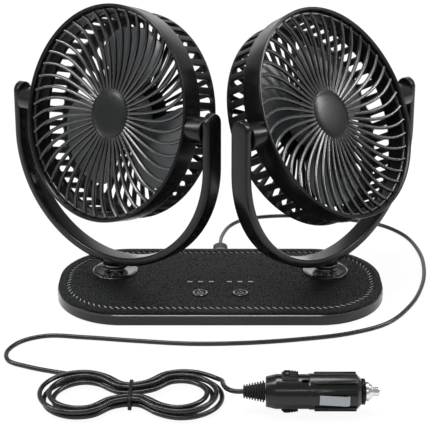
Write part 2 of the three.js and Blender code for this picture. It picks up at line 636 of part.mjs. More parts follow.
// Motor standing on the back of the cage, inside the hub.
const MOTOR_LOW = CAGE_BACK + CAGE.wall + SEAT_GAP;
const MOTOR_TOP = IMPELLER_BACK + IMPELLER.depth - 2 * IMPELLER.wall - RUN_GAP;

const motor = () => revolve([[MOTOR.shaft + SEAT_GAP, MOTOR_LOW], [MOTOR.radius, MOTOR_LOW],
  [MOTOR.radius, MOTOR_TOP - MOTOR.shaft], [MOTOR.radius - MOTOR.shaft, MOTOR_TOP],
  [MOTOR.shaft + SEAT_GAP, MOTOR_TOP]], FACETS.ball);

const motorShaft = () => bar(MOTOR.shaft, MOTOR_LOW + SEAT_GAP, IMPELLER_BACK + IMPELLER.depth + SEAT_GAP);

// Cord: the gland at the back, the free stretch, the tied hank and the tail to the plug.

// Ribbed boot at the back of the base, along +Y, that the cord comes out of.
function gland() {
  const { flare, radius, neck, stem, flange, cone, length, ribs, groove } = GLAND;
  const inside = TRAY.wall;
  const points = [[0, -inside], [stem, -inside], [stem, SEAT_GAP], [radius, SEAT_GAP], [radius, flange],
    [neck, flange + cone]];
  const pitch = (length - cone - flange) / ribs;
  for (let i = 0; i < ribs; i++) {
    const start = flange + cone + i * pitch;
    const groovePoint = start + RIB_SHARE * pitch;
    points.push([neck, groovePoint], [neck - groove, groovePoint], [neck - groove, start + pitch]);
    if (i < ribs - 1) points.push([neck, start + pitch]);
  }
  points.push([0, length]);
  const boot = solid(revolve(points, FACETS.small).scale(flare / radius, 1, 1));
  const bore = CORD.radius + SEAT_GAP;
  const mouth = solid(bar(bore, length - GLAND_PLACE.mouth, length + OVERRUN, CORD.sides));
  return fromSolid(cutAway(boot, mouth)).rotateX(-PI / 2).translate(0, BASE.depth / 2, GLAND_PLACE.high);
}

const GLAND_EXIT = BASE.depth / 2 + GLAND.length - GLAND_PLACE.mouth + SEAT_GAP;

// Route of the free stretch on the table, round the back of the right-hand fan to the front.
const CORD_ROUTE = [
  [8, 118], [17, 129], [32, 136], [62, 139], [99, 132], [128, 120], [145, 98], [152, 66], [151, 35],
  [145, 6], [133, -24], [113, -52], [85, -67], [52, -75], [16, -80], [-20, -81], [-56, -77], [-91, -72],
  [-115, -70], [-131, -78], [-138, -92], [-135, -104], [-122, -111.5], [-106, -117.5],
];

// Way of the tail from the hank up to the axis of the plug.
const TAIL_ROUTE = [[1, -140, 7.8], [1.9, -148, 9.8], [3.7, -155.3, 11.5], [7, -159.8, 12.4]];

// Outermost loop: two round lobes that a hollow curve joins at the waist.
function outerLoop(angle) {
  const { halfLength, lobe, waist } = HANK;
  const middle = halfLength - lobe;
  const hollow = (middle ** 2 + waist ** 2 - lobe ** 2) / (2 * (lobe - waist));
  const meeting = middle * hollow / (hollow + lobe);
  const x = halfLength * cos(angle);
  const along = Math.abs(x);
  const y = along > meeting
    ? Math.sqrt(Math.max(lobe ** 2 - (along - middle) ** 2, 0))
    : waist + hollow - Math.sqrt(hollow ** 2 - along ** 2);
  return new THREE.Vector2(x, y * Math.sign(sin(angle)));
}

// Each further loop lies inside the one before, at an even distance from it.
function loopPoint(angle, inner) {
  const along = outerLoop(angle + DEG).sub(outerLoop(angle - DEG)).normalize();
  const pitch = HANK.spread + (HANK.pack - HANK.spread) * sin(angle) ** SPREAD_POWER;
  return outerLoop(angle).add(new THREE.Vector2(-along.y, along.x).multiplyScalar(inner * pitch));
}

class HankCurve extends THREE.Curve {
  constructor() {
    super();
    this.turns = HANK_TURNS.loops - 1 + (HANK_TURNS.start - HANK_TURNS.exit) / TURN;
    this.half = this.turns / 2;
  }

  // Loops spiral in on the lower layer, climb along one run and spiral out on the upper layer.
  getPoint(t, target = new THREE.Vector3()) {
    const turn = t * this.turns;
    const inner = Math.min(turn, this.turns - turn);
    const climb = THREE.MathUtils.smoothstep(turn, this.half - CLIMB_SHARE, this.half + CLIMB_SHARE);
    const { x, y } = loopPoint(HANK_TURNS.start - turn * TURN, inner);
    return target.set(HANK.x + x, HANK.y + y, HANK_TURNS.lift + climb * HANK_TURNS.layer);
  }
}

const hankCurve = new HankCurve();
const hankSteps = Math.round(hankCurve.turns * HANK_TURNS.steps);
const hankEnd = (t, sense) => {
  const tangent = hankCurve.getTangent(t).setZ(0).normalize();
  return hankCurve.getPoint(t).addScaledVector(tangent, sense * CORD.straight);
};
const hankStart = hankEnd(0, -1);
const hankExit = hankEnd(1, 1);
const hankPath = new THREE.CatmullRomCurve3([
  hankStart,
  ...[...Array(hankSteps + 1).keys()].map((i) => hankCurve.getPoint(i / hankSteps)),
  hankExit,
], false, 'centripetal');

function section(radius, sides) {
  const corners = [...Array(sides).keys()].map((i) => {
    const angle = TURN * (i + 0.5) / sides;
    return new THREE.Vector2(radius * cos(angle), radius * sin(angle));
  });
  return new THREE.Shape(corners);
}

function tube(path, steps, sides) {
  path.arcLengthDivisions = steps * sides;
  return new THREE.ExtrudeGeometry(section(CORD.radius, sides), { steps, extrudePath: path });
}

const hank = () => tube(hankPath, hankSteps + 2, CORD.hankSides);

const SKIP_DIAMETERS = 4; // how near along the cord two places count as one run
const GAP_SAMPLES = 4; // for each step of the hank

// Least distance between the surfaces of two runs of the hank that aren't neighbours along it.
function hankGap() {
  const points = hankPath.getSpacedPoints(hankSteps * GAP_SAMPLES);
  const step = hankPath.getLength() / (points.length - 1);
  const skip = Math.ceil(SKIP_DIAMETERS * 2 * CORD.radius / step);
  let least = Infinity;
  for (let i = 0; i < points.length; i++) {
    for (let j = i + skip; j < points.length; j++) {
      least = Math.min(least, points[i].distanceTo(points[j]));
    }
  }
  return least - 2 * CORD.radius;
}
console.log(`least gap of the hank to itself: ${hankGap().toFixed(2)} mm`);

function runPath() {
  const up = (x, y, z) => new THREE.Vector3(x, y, z);
  const straight = CORD.straight;
  const heading = hankCurve.getTangent(0).setZ(0).normalize();
  const end = hankStart.clone().addScaledVector(heading, -SEAT_GAP);
  return new THREE.CatmullRomCurve3([
    up(0, GLAND_EXIT, GLAND_PLACE.high),
    up(0, GLAND_EXIT + straight, GLAND_PLACE.high),
    up(0, GLAND_EXIT + 3 * straight, GLAND_PLACE.high),
    up(straight / 2, (GLAND_EXIT + CORD_ROUTE[0][1]) / 2 + straight, (GLAND_PLACE.high + CORD.radius) / 2),
    ...CORD_ROUTE.map(([x, y]) => up(x, y, CORD.radius + CORD.lift)),
    end.clone().addScaledVector(heading, -straight),
    end,
  ], false, 'centripetal');
}

const cordRun = () => tube(runPath(), CORD.steps, CORD.sides);

const PLUG_AXIS = PLUG.barrel + PLUG_WING.height + PLUG.lift;

function tailPath() {
  const heading = hankCurve.getTangent(1).setZ(0).normalize();
  const start = hankExit.clone().addScaledVector(heading, SEAT_GAP);
  const end = new THREE.Vector3(PLUG.x + RELIEF.mouth - SEAT_GAP, PLUG.y, PLUG_AXIS);
  return new THREE.CatmullRomCurve3([
    start,
    start.clone().addScaledVector(heading, CORD.straight),
    ...TAIL_ROUTE.map(([x, y, z]) => new THREE.Vector3(x, y, z)),
    end.clone().setX(PLUG.x - CORD.straight),
    end.clone().setX(PLUG.x),
    end,
  ], false, 'centripetal');
}

const cordTail = () => tube(tailPath(), TAIL.steps, CORD.sides);

// Flat tie round the waist of the hank.
function tie() {
  const clear = CORD.radius + SEAT_GAP + SEAT_GAP / 2;
  const reaches = hankPath.getSpacedPoints(hankSteps * GAP_SAMPLES)
    .filter(({ x }) => Math.abs(x - HANK.x) < TIE.width)
    .map(({ y }) => Math.abs(y - HANK.y));
  const width = 2 * (Math.max(...reaches) + clear);
  const height = HANK_TURNS.layer + 2 * clear;
  const wall = TIE.thickness;
  const loop = roundedRect(width + 2 * wall, height + 2 * wall, TIE.corner);
  loop.holes.push(new THREE.Path(roundedRect(width, height, TIE.corner - wall).getPoints(FACETS.tie)
    .reverse()));
  return prism(loop, -TIE.width / 2, TIE.width / 2, FACETS.tie)
    .rotateX(PI / 2).rotateZ(PI / 2)
    .translate(HANK.x, HANK.y, HANK_TURNS.lift + HANK_TURNS.layer / 2);
}

// Plug, in its own frame: X from the cord to the tip, Y across, Z up, the axis at zero height.

function strainRelief() {
  const { length, start, end, ribs, groove, mouth } = RELIEF;
  const points = [[0, 0]];
  const pitch = length / ribs;
  for (let i = 0; i < ribs; i++) {
    const radius = start + (end - start) * (i + 1) / ribs;
    points.push([radius, i * pitch], [radius, (i + RIB_SHARE) * pitch]);
    if (i < ribs - 1) points.push([radius - groove, (i + (1 + RIB_SHARE) / 2) * pitch]);
  }
  points.push([end, length], [0, length]);
  const sleeve = solid(revolve(points, FACETS.small));
  const hole = solid(bar(CORD.radius + SEAT_GAP, -OVERRUN, mouth, CORD.sides));
  return alongX(fromSolid(cutAway(sleeve, hole)));
}

const BODY_START = RELIEF.length + SEAT_GAP;
const BODY_END = BODY_START + PLUG_BODY.length;
const WING_START = BODY_START + PLUG_WING.start;
const CONTACT_END = BODY_END - PLUG_BODY.nose - CONTACT.end;
const CONTACT_START = CONTACT_END - CONTACT.length;

// Sides that the spring contacts work through, as [side of the plug].
const CONTACT_SIDES = { front: -1, back: 1 };

function contactSlot(side) {
  const half = CONTACT.width / 2 + SEAT_GAP;
  const floor = PLUG.barrel - CONTACT.travel - CONTACT.thickness - CONTACT.tab - SEAT_GAP;
  const slot = solid(box(CONTACT_START - SEAT_GAP, CONTACT_END + SEAT_GAP, floor, PLUG.barrel + OVERRUN,
    -half, half));
  return side < 0 ? slot.scale([1, -1, 1]) : slot;
}

// Ribs on each quarter of the front half, as turns from straight out across the plug.
const finTurns = (around) => [...Array(PLUG_FIN.count).keys()]
  .map((i) => around + (i - (PLUG_FIN.count - 1) / 2) * PLUG_FIN.spacing);
const PLUG_FIN_TURNS = [PLUG_FIN.angle, PI - PLUG_FIN.angle, -PLUG_FIN.angle, PLUG_FIN.angle - PI]
  .flatMap(finTurns);

function plugBody() {
  const { shoulder, shoulderRadius, nose, noseRadius, wall } = PLUG_BODY;
  const r = PLUG.barrel;
  const slim = r - PLUG_STEP.height;
  const step = BODY_START + PLUG_STEP.at;
  const bore = PLUG_PIN.flange + SEAT_GAP;
  const boreStart = BODY_END - PLUG_TIP.depth;
  const barrel = solid(alongX(revolve([[0, BODY_START], [shoulderRadius, BODY_START],
    [slim, BODY_START + shoulder], [slim, step], [r, step + PLUG_STEP.edge], [r, BODY_END - nose],
    [noseRadius, BODY_END], [bore, BODY_END], [bore, boreStart], [0, boreStart]], FACETS.plug)));
  const end = BODY_END - nose;
  const half = PLUG_FIN.width / 2;
  const fins = PLUG_FIN_TURNS.map((turn) => solid(
    box(end - PLUG_FIN.length, end, r - wall / 2, r + PLUG_FIN.height, -half, half).rotateX(turn)));
  const vent = solid(box(BODY_START + PLUG_VENT.at, BODY_START + PLUG_VENT.at + PLUG_VENT.length,
    -PLUG_VENT.width / 2, PLUG_VENT.width / 2, r - PLUG_VENT.depth, r + OVERRUN).rotateX(PLUG_VENT.angle));
  const slots = Object.values(CONTACT_SIDES).map(contactSlot);
  const lampHole = solid(lampBar(PLUG_LAMP.radius + SEAT_GAP, -PLUG_LAMP.sunk, OVERRUN));
  const whole = union(barrel, solid(wing(-1)), solid(wing(1)), ...fins);
  return fromSolid(cutAway(whole, ...slots, vent, lampHole));
}

// Serrated grip moulded above and below the barrel.
function wing(side) {
  const { length, height, width, teeth, tooth } = PLUG_WING;
  const top = PLUG.barrel + height;
  const root = PLUG.barrel - PLUG_BODY.wall / 2;
  const middle = WING_START + length / 2;
  const pitch = length / 2 / teeth;
  const points = [[WING_START, root], [WING_START, PLUG.barrel], [WING_START + height, top], [middle, top]];
  for (let i = 0; i < teeth; i++) {
    const x = middle + i * pitch;
    points.push([x + pitch / 3, top - tooth], [x + pitch, top - i * tooth / 2]);
  }
  points.push([WING_START + length, root]);
  const shape = new THREE.Shape(points.map(([x, z]) => new THREE.Vector2(x, z)));
  return prism(shape, -width / 2, width / 2).rotateX(PI / 2).scale(1, 1, side);
}

// A bar standing on the upper grip, for the lamp and its hole.
const lampBar = (radius, low, high) => {
  const top = PLUG.barrel + PLUG_WING.height;
  return bar(radius, top + low, top + high)
    .translate(WING_START + PLUG_WING.length / 3, 0, 0);
};

const plugLamp = () => lampBar(PLUG_LAMP.radius, SEAT_GAP - PLUG_LAMP.sunk, PLUG_LAMP.height - SEAT_GAP);

// Spring contact: a bowed leaf that stands proud of the barrel, with a tab inside it.
function contact() {
  const low = PLUG.barrel - CONTACT.travel - CONTACT.thickness;
  const inner = PLUG.barrel - CONTACT.thickness + SEAT_GAP;
  const outer = PLUG.barrel + CONTACT.proud;
  const [x0, x1] = [CONTACT_START, CONTACT_END];
  const bend = x1 - CONTACT.tab;
  const points = [[x0, low], [x0 + CONTACT.tab, low], [x0 + CONTACT.tab, inner - CONTACT.thickness],
    [bend, outer - CONTACT.thickness], [bend, low], [x1, low], [x1, outer - CONTACT.thickness], [bend, outer],
    [x0, inner]];
  const shape = new THREE.Shape(points.map(([x, y]) => new THREE.Vector2(x, y)));
  return prism(shape, -CONTACT.width / 2, CONTACT.width / 2);
}

const contactFor = (side) => contact().scale(1, side, 1);

const plugRing = () => {
  const bore = PLUG_PIN.flange + SEAT_GAP;
  const low = BODY_END + SEAT_GAP;
  return alongX(revolve([[bore, low], [PLUG_RING.radius, low], [PLUG_RING.radius, low + PLUG_RING.length],
    [bore, low + PLUG_RING.length]], FACETS.plug));
};

const TIP_START = BODY_END + PLUG_RING.length + 2 * SEAT_GAP;
const TIP_END = TIP_START + PLUG_TIP.length;

// Metal nose that holds the pin in.
const plugTip = () => {
  const hole = PLUG_PIN.radius + SEAT_GAP;
  return alongX(revolve([[hole, TIP_START], [PLUG_TIP.radius, TIP_START],
    [PLUG_TIP.radius, TIP_START + PLUG_TIP.length / 2], [PLUG_TIP.mouth, TIP_END], [hole, TIP_END]],
  FACETS.plug));
};

const plugPin = () => {
  const flangeEnd = TIP_START - SEAT_GAP;
  const flangeStart = flangeEnd - PLUG_PIN.flangeLength;
  const end = TIP_END + PLUG_PIN.proud;
  return alongX(revolve([[0, flangeStart], [PLUG_PIN.flange, flangeStart], [PLUG_PIN.flange, flangeEnd],
    [PLUG_PIN.radius, flangeEnd], [PLUG_PIN.radius, end - PLUG_PIN.round],
    [PLUG_PIN.radius - PLUG_PIN.round, end], [0, end]], FACETS.small));
};

// Fuse in the bore behind the pin.
const plugFuse = () => {
  const start = BODY_END - PLUG_TIP.depth + SEAT_GAP;
  const end = TIP_START - SEAT_GAP - PLUG_PIN.flangeLength - PLUG_PIN.travel - RUN_GAP;
  return alongX(bar(PLUG_PIN.radius, start, end));
};

// The assembly

const object = new THREE.Group();

const base = [
  part('base_tray', tray(), MATERIAL.satin),
  part('grip_sheet', gripSheet(), MATERIAL.rubber),
  part('base_lid', lid(), MATERIAL.matt),
  part('leather_pad', pad(), MATERIAL.leather),
  part('circuit_board', board(), MATERIAL.board),
];
object.add(...base);

for (const [name, side] of [['left', -1], ['right', 1]]) {
  const place = [side * BUTTON.spacing / 2, -BUTTON.front];
  object.add(
    part(`button_${name}`, at(button(), place), MATERIAL.matt),
    part(`switch_${name}`, at(pushSwitch(), place), MATERIAL.matt),
    part(`light_guide_${name}`, lightGuide(side), MATERIAL.light),
  );
}

const headShapes = {
  shroud: shroud(),
  grille: grille(),
  cap: hubCap(),
  cage: cage(),
  motor: motor(),
  shaft: motorShaft(),
};
const yokeShape = yoke();

for (const [name, pose] of Object.entries(POSE)) {
  const place = [pose.side * BALL_SPACING / 2, BALL.back];
  object.add(
    part(`dish_${name}`, at(dish(), place), MATERIAL.gloss),
    part(`ball_stud_${name}`, at(ballStud(), place), MATERIAL.steel),
    part(`stud_nut_${name}`, at(studNut(), place), MATERIAL.steel),
  );

  const ball = new THREE.Group();
  ball.position.set(...place, BALL_HEIGHT);
  ball.rotation.set(-pose.lean, 0, 0);
  const turned = new THREE.Group();
  turned.rotation.set(0, 0, pose.yaw);
  ball.add(turned);

  const upright = new THREE.Group();
  upright.position.set(0, 0, -BALL_HEIGHT);
  upright.add(
    part(`liner_${name}`, liner(), MATERIAL.rubber),
    part(`socket_collar_${name}`, collar(), MATERIAL.gloss),
  );
  const tilt = new THREE.Group();
  tilt.position.set(0, 0, PIVOT_HEIGHT);
  tilt.add(part(`yoke_${name}`, yokeShape.clone(), MATERIAL.satin));

  const head = new THREE.Group();
  head.rotation.set(PI / 2 - pose.tilt, 0, 0);
  head.add(
    part(`shroud_${name}`, headShapes.shroud.clone(), MATERIAL.satin),
    part(`front_grille_${name}`, headShapes.grille.clone(), MATERIAL.satin),
    part(`hub_cap_${name}`, headShapes.cap.clone(), MATERIAL.cap),
    part(`rear_cage_${name}`, headShapes.cage.clone(), MATERIAL.matt),
    part(`impeller_${name}`, impeller(IMPELLER_START[name]), MATERIAL.blade),
    part(`motor_${name}`, headShapes.motor.clone(), MATERIAL.steel),
    part(`motor_shaft_${name}`, headShapes.shaft.clone(), MATERIAL.steel),
    part(`tilt_pin_${name}_a`, pin(-1), MATERIAL.steel),
    part(`tilt_pin_${name}_b`, pin(1), MATERIAL.steel),
  );
  tilt.add(head);
  upright.add(tilt);
  turned.add(upright);
  object.add(ball);
}

const plug = new THREE.Group();
plug.position.set(PLUG.x, PLUG.y, PLUG_AXIS);
plug.add(
  part('plug_relief', strainRelief(), MATERIAL.rubber),
  part('plug_body', plugBody(), MATERIAL.satin),
  part('plug_lamp', plugLamp(), MATERIAL.lamp),
  part('plug_contact_front', contactFor(CONTACT_SIDES.front), MATERIAL.steel),
  part('plug_contact_back', contactFor(CONTACT_SIDES.back), MATERIAL.steel),
  part('plug_ring', plugRing(), MATERIAL.matt),
  part('plug_tip', plugTip(), MATERIAL.steel),
  part('plug_pin', plugPin(), MATERIAL.steel),
  part('plug_fuse', plugFuse(), MATERIAL.steel),
);
object.add(
  part('cord_gland', gland(), MATERIAL.rubber),
  part('cord_run', cordRun(), MATERIAL.cord),
  part('cord_hank', hank(), MATERIAL.cord),
  part('cord_tail', cordTail(), MATERIAL.cord),
  part('cord_tie', tie(), MATERIAL.matt),
  plug,
);

export default object;
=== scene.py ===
from math import acos, atan2, cos, pi, radians, sin, sqrt, tan

import bmesh
import bpy
from mathutils import Matrix, Vector


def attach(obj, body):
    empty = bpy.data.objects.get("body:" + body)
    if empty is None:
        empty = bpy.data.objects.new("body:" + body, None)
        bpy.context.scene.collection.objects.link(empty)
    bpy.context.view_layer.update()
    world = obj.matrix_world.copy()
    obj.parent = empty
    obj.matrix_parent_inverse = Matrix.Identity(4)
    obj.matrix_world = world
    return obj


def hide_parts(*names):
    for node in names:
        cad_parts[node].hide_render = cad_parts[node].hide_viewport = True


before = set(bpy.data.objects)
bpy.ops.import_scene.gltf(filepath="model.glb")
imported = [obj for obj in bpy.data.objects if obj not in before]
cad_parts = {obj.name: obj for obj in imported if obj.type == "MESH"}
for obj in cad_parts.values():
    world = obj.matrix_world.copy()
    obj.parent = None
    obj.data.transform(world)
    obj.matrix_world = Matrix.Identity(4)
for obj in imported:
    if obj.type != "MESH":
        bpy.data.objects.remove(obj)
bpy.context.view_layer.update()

print("frame: loaded,", len(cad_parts), "solids")

mm = 0.001
turn = 2 * pi


# Helpers: nodes, materials and meshes

def toLinear(hexColour):
    shares = [int(hexColour[i:i + 2], 16) / 255 for i in (1, 3, 5)]
    return [s / 12.92 if s <= 0.04045 else ((s + 0.055) / 1.055) ** 2.4 for s in shares] + [1]


def addNode(tree, kind, inputs=None, **settings):
    # a node with its settings; each input is a value, a socket, or a node whose first output feeds it
    node = tree.nodes.new(kind)
    for name, value in settings.items():
        setattr(node, name, value)
    for key, value in (inputs or {}).items():
        if isinstance(value, bpy.types.Node):
            value = value.outputs[0]
        if isinstance(value, bpy.types.NodeSocket):
            tree.links.new(value, node.inputs[key])
        else:
            node.inputs[key].default_value = value
    return node


def perSize(size):
    # scale of a texture whose features are this many millimetres apart
    return 1000 / size


def newMaterial(name, **values):
    material = bpy.data.materials.new(name)
    material.use_nodes = True
    tree = material.node_tree
    shader = tree.nodes["Principled BSDF"]
    for key, value in values.items():
        shader.inputs[key.replace("_", " ")].default_value = value
    place = addNode(tree, "ShaderNodeTexCoord").outputs["Object"]
    return material, tree, shader, place


def toneBetween(tree, shader, factor, dark, pale):
    mix = addNode(tree, "ShaderNodeMix", {0: factor, 6: toLinear(dark), 7: toLinear(pale)}, data_type="RGBA")
    tree.links.new(mix.outputs[2], shader.inputs["Base Color"])


def roughBetween(tree, shader, factor, low, high):
    spread = addNode(tree, "ShaderNodeMapRange", {"Value": factor, "From Min": 0.3, "From Max": 0.7,
                                                  "To Min": low, "To Max": high})
    tree.links.new(spread.outputs[0], shader.inputs["Roughness"])


def bumpFrom(tree, shader, height, depth):
    bump = addNode(tree, "ShaderNodeBump", {"Height": height, "Distance": depth * mm, "Strength": 1.0})
    tree.links.new(bump.outputs[0], shader.inputs["Normal"])


def meshFrom(vertices, faces):
    mesh = bpy.data.meshes.new("shape")
    shape = bmesh.new()
    corners = [shape.verts.new(v) for v in vertices]
    for face in faces:
        shape.faces.new([corners[i] for i in face])
    bmesh.ops.remove_doubles(shape, verts=shape.verts, dist=1e-3)
    bmesh.ops.dissolve_degenerate(shape, edges=shape.edges, dist=1e-4)
    bmesh.ops.recalc_face_normals(shape, faces=shape.faces)
    shape.to_mesh(mesh)
    shape.free()
    return mesh


def joined(*meshes):
    shape = bmesh.new()
    for mesh in meshes:
        shape.from_mesh(mesh)
    whole = bpy.data.meshes.new("joined")
    shape.to_mesh(whole)
    shape.free()
    return whole


def at(x, y, z):
    return Matrix.Translation((x, y, z))


def about(axis, angle):
    return Matrix.Rotation(angle, 4, axis)


alongX = about("Y", pi / 2)
alongMinusX = about("Z", pi) @ alongX


def moved(mesh, matrix):
    copy = mesh.copy()
    copy.transform(matrix)
    return copy


def filleted(points, steps=4, closed=False):
    # rounds each corner that carries a third number, the radius of its rounding
    out = []
    for i, point in enumerate(points):
        here = Vector(point[:2])
        radius = point[2] if len(point) > 2 else 0
        if radius == 0 or (not closed and i in (0, len(points) - 1)):
            out.append(tuple(here))
            continue
        a = (Vector(points[i - 1][:2]) - here).normalized()
        b = (Vector(points[(i + 1) % len(points)][:2]) - here).normalized()
        half = a.angle(b) / 2
        centre = here + (a + b).normalized() * radius / sin(half)
        start = here + a * radius / tan(half) - centre
        end = here + b * radius / tan(half) - centre
        spread = atan2(start.x * end.y - start.y * end.x, start.dot(end))
        for k in range(steps + 1):
            c, s = cos(spread * k / steps), sin(spread * k / steps)
            out.append((centre.x + start.x * c - start.y * s, centre.y + start.x * s + start.y * c))
    return out


def lathe(profile, segments, steps=4, ring=False):
    # turns points of (radius, height, rounding) about Z; a ring's profile closes on itself
    vertices, rings = [], []
    for r, z in filleted(profile, steps, closed=ring):
        if r < 1e-6:
            rings.append([len(vertices)] * segments)
            vertices.append((0, 0, z))
            continue
        rings.append([len(vertices) + k for k in range(segments)])
        vertices += [(r * cos(turn * k / segments), r * sin(turn * k / segments), z) for k in range(segments)]
    faces = []
    for low, high in list(zip(rings, rings[1:])) + ([(rings[-1], rings[0])] if ring else []):
        for k in range(segments):
            n = (k + 1) % segments
            corners = list(dict.fromkeys([low[k], low[n], high[n], high[k]]))
            if len(corners) > 2:
                faces.append(corners)
    return meshFrom(vertices, faces)


def rod(radius, low, high, segments):
    # plain cylinder along Z, for cutting holes
    return lathe([(0, low), (radius, low), (radius, high), (0, high)], segments)


def loft(rings, closed=False, strips=False):
    # skins rings of equal count; an open loft is capped at both ends, a thin blade's by strips of quads
    count = len(rings[0])
    vertices = [v for ring in rings for v in ring]
    faces = []
    for i in range(len(rings) if closed else len(rings) - 1):
        a, b = i * count, (i + 1) % len(rings) * count
        faces += [(a + k, a + (k + 1) % count, b + (k + 1) % count, b + k) for k in range(count)]
    for end in () if closed else (0, len(vertices) - count):
        if strips:
            last = end + count - 1
            faces += [(end + k, end + k + 1, last - k - 1, last - k) for k in range(count // 2 - 1)]
        else:
            faces.append(tuple(range(end, end + count)))
    return meshFrom(vertices, faces)


def prism(outline, low, high, edge=0.0, steps=2):
    # an outline of (x, y) points between two heights, with its rims rounded inwards
    middle = Vector((sum(p[0] for p in outline) / len(outline), sum(p[1] for p in outline) / len(outline)))
    rows = [(0, low), (0, high)]
    if edge:
        rows = [(edge * (1 - sin(pi / 2 * k / steps)), low + edge * (1 - cos(pi / 2 * k / steps)))
                for k in range(steps + 1)]
        rows += [(inset, low + high - z) for inset, z in reversed(rows)]
    rings = []
    for inset, z in rows:
        ring = []
        for x, y in outline:
            toward = Vector((x, y)) - middle
            place = middle + toward * max(0, 1 - inset / toward.length)
            ring.append((place.x, place.y, z))
        rings.append(ring)
    return loft(rings)


def roundedRect(width, height, corner, steps=5, centre=(0, 0)):
    points = []
    for sx, sy, start in ((1, -1, -90), (1, 1, 0), (-1, 1, 90), (-1, -1, 180)):
        for k in range(steps + 1):
            angle = radians(start + 90 * k / steps)
            points.append((centre[0] + sx * (width / 2 - corner) + corner * cos(angle),
                           centre[1] + sy * (height / 2 - corner) + corner * sin(angle)))
    return points


def baked(holder):
    # the evaluated shape as a plain mesh; the holder and its modifiers go
    graph = bpy.context.evaluated_depsgraph_get()
    mesh = bpy.data.meshes.new_from_object(holder.evaluated_get(graph))
    bpy.data.objects.remove(holder)
    return mesh


def holderOf(mesh):
    holder = bpy.data.objects.new("holder", mesh)
    bpy.context.scene.collection.objects.link(holder)
    return holder


def finishedWith(mesh, *modifiers):
    # runs (kind, settings) modifiers on a mesh
    holder = holderOf(mesh)
    for kind, settings in modifiers:
        modifier = holder.modifiers.new(kind, kind)
        for key, value in settings.items():
            setattr(modifier, key, value)
    return baked(holder)


def cutBy(mesh, cutter):
    tool = holderOf(cutter)
    result = finishedWith(mesh, ("BOOLEAN", {"operation": "DIFFERENCE", "solver": "EXACT", "object": tool}))
    bpy.data.objects.remove(tool)
    return result


def newTree(name, numbers, counts=()):
    # a geometry tree with named inputs: a shape, its numbers, its whole counts and a material
    tree = bpy.data.node_groups.new(name, "GeometryNodeTree")
    sockets = [("Geometry", "Geometry")] + [(label, "Float") for label in numbers]
    for label, kind in sockets + [(label, "Int") for label in counts] + [("Material", "Material")]:
        tree.interface.new_socket(label, in_out="INPUT", socket_type="NodeSocket" + kind)
    tree.interface.new_socket("Geometry", in_out="OUTPUT", socket_type="NodeSocketGeometry")
    return tree, addNode(tree, "NodeGroupInput").outputs


def endTree(tree, geometry, material):
    real = addNode(tree, "GeometryNodeRealizeInstances", {"Geometry": geometry})
    painted = addNode(tree, "GeometryNodeSetMaterial", {"Geometry": real, "Material": material})
    addNode(tree, "NodeGroupOutput", {"Geometry": painted})
    return tree


def grown(tree, start, settings):
    # runs a tree on a starting mesh with its inputs set by identifier
    holder = holderOf(start)
    modifier = holder.modifiers.new("grow", "NODES")
    modifier.node_group = tree
    for item in tree.interface.items_tree:
        if item.in_out == "INPUT" and item.name in settings:
            modifier[item.identifier] = settings[item.name]
    return baked(holder)


def addPiece(name, body, mesh, material, place=Matrix(), nodes=(), sharp=35):
    # a shape in millimetres becomes a piece in metres, at its place and riding on its body
    mesh = mesh.copy()
    mesh.transform(Matrix.Scale(mm, 4) @ place)
    mesh.name = name
    mesh.materials.clear()
    mesh.materials.append(material)
    mesh.shade_smooth()
    mesh.set_sharp_from_angle(angle=radians(sharp))
    piece = bpy.data.objects.new(name, mesh)
    bpy.context.scene.collection.objects.link(piece)
    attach(piece, body)
    if nodes:
        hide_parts(*nodes)
    return piece


# Camera, floor and light

scene = bpy.context.scene
scene.view_settings.view_transform = "Standard"

view = {"back": 0.8059, "up": 0.3911, "down": 22.3, "sensor": 36, "lens": 105.3, "shift": -0.0159}
camera = bpy.data.objects.new("camera", bpy.data.cameras.new("camera"))
camera.location = (0, -view["back"], view["up"])
camera.rotation_euler = (radians(90 - view["down"]), 0, 0)
camera.data.sensor_width = view["sensor"]
camera.data.lens = view["lens"]
camera.data.shift_x = view["shift"]
scene.collection.objects.link(camera)
scene.camera = camera

light = {
    "skyOnObject": 0.24, "skySeen": 1.0, "skyMirrored": 0.5, "floorSeen": 0.94, "floorMirrored": 0.1,
    "softboxes": {  # where it hangs and what it faces, in metres, then its width, its height and its watts
        "keyAbove": ((-0.1, 0.1, 1.1), (0, 0, 0.06), 0.9, 0.3, 11.0),
        "stripLeft": ((-0.85, -0.1, 0.82), (0, 0, 0.12), 0.12, 0.8, 8.0),
        "stripRight": ((0.85, 0.12, 0.85), (0, 0, 0.12), 0.12, 0.8, 8.0),
        "backdrop": ((0, 1.3, 0.45), (0, 0, 0.05), 1.6, 0.6, 2.4),
        "frontFill": ((-0.1, -1.2, 0.8), (0, 0, 0.1), 0.8, 0.08, 2.0),
    },
}


def seenOrMirrored(tree, seen, mirrored):
    # one share for what the camera sees straight, another for what gloss and clear plastic show of it
    rays = addNode(tree, "ShaderNodeLightPath").outputs
    gloss = addNode(tree, "ShaderNodeMath", {0: rays["Is Glossy Ray"], 1: rays["Is Transmission Ray"]},
                    operation="MAXIMUM")
    straight = addNode(tree, "ShaderNodeMath", {0: rays["Is Camera Ray"], 1: seen}, operation="MULTIPLY")
    bounced = addNode(tree, "ShaderNodeMath", {0: gloss, 1: mirrored}, operation="MULTIPLY")
    return addNode(tree, "ShaderNodeMath", {0: straight, 1: bounced}, operation="MAXIMUM")


world = bpy.data.worlds.new("studio")
world.use_nodes = True
scene.world = world
tree = world.node_tree
background = tree.nodes["Background"]
strength = addNode(tree, "ShaderNodeMath", {0: seenOrMirrored(tree, light["skySeen"], light["skyMirrored"]),
                                            1: light["skyOnObject"]}, operation="MAXIMUM")
tree.links.new(strength.outputs[0], background.inputs["Strength"])
background.inputs["Color"].default_value = (1, 1, 1, 1)

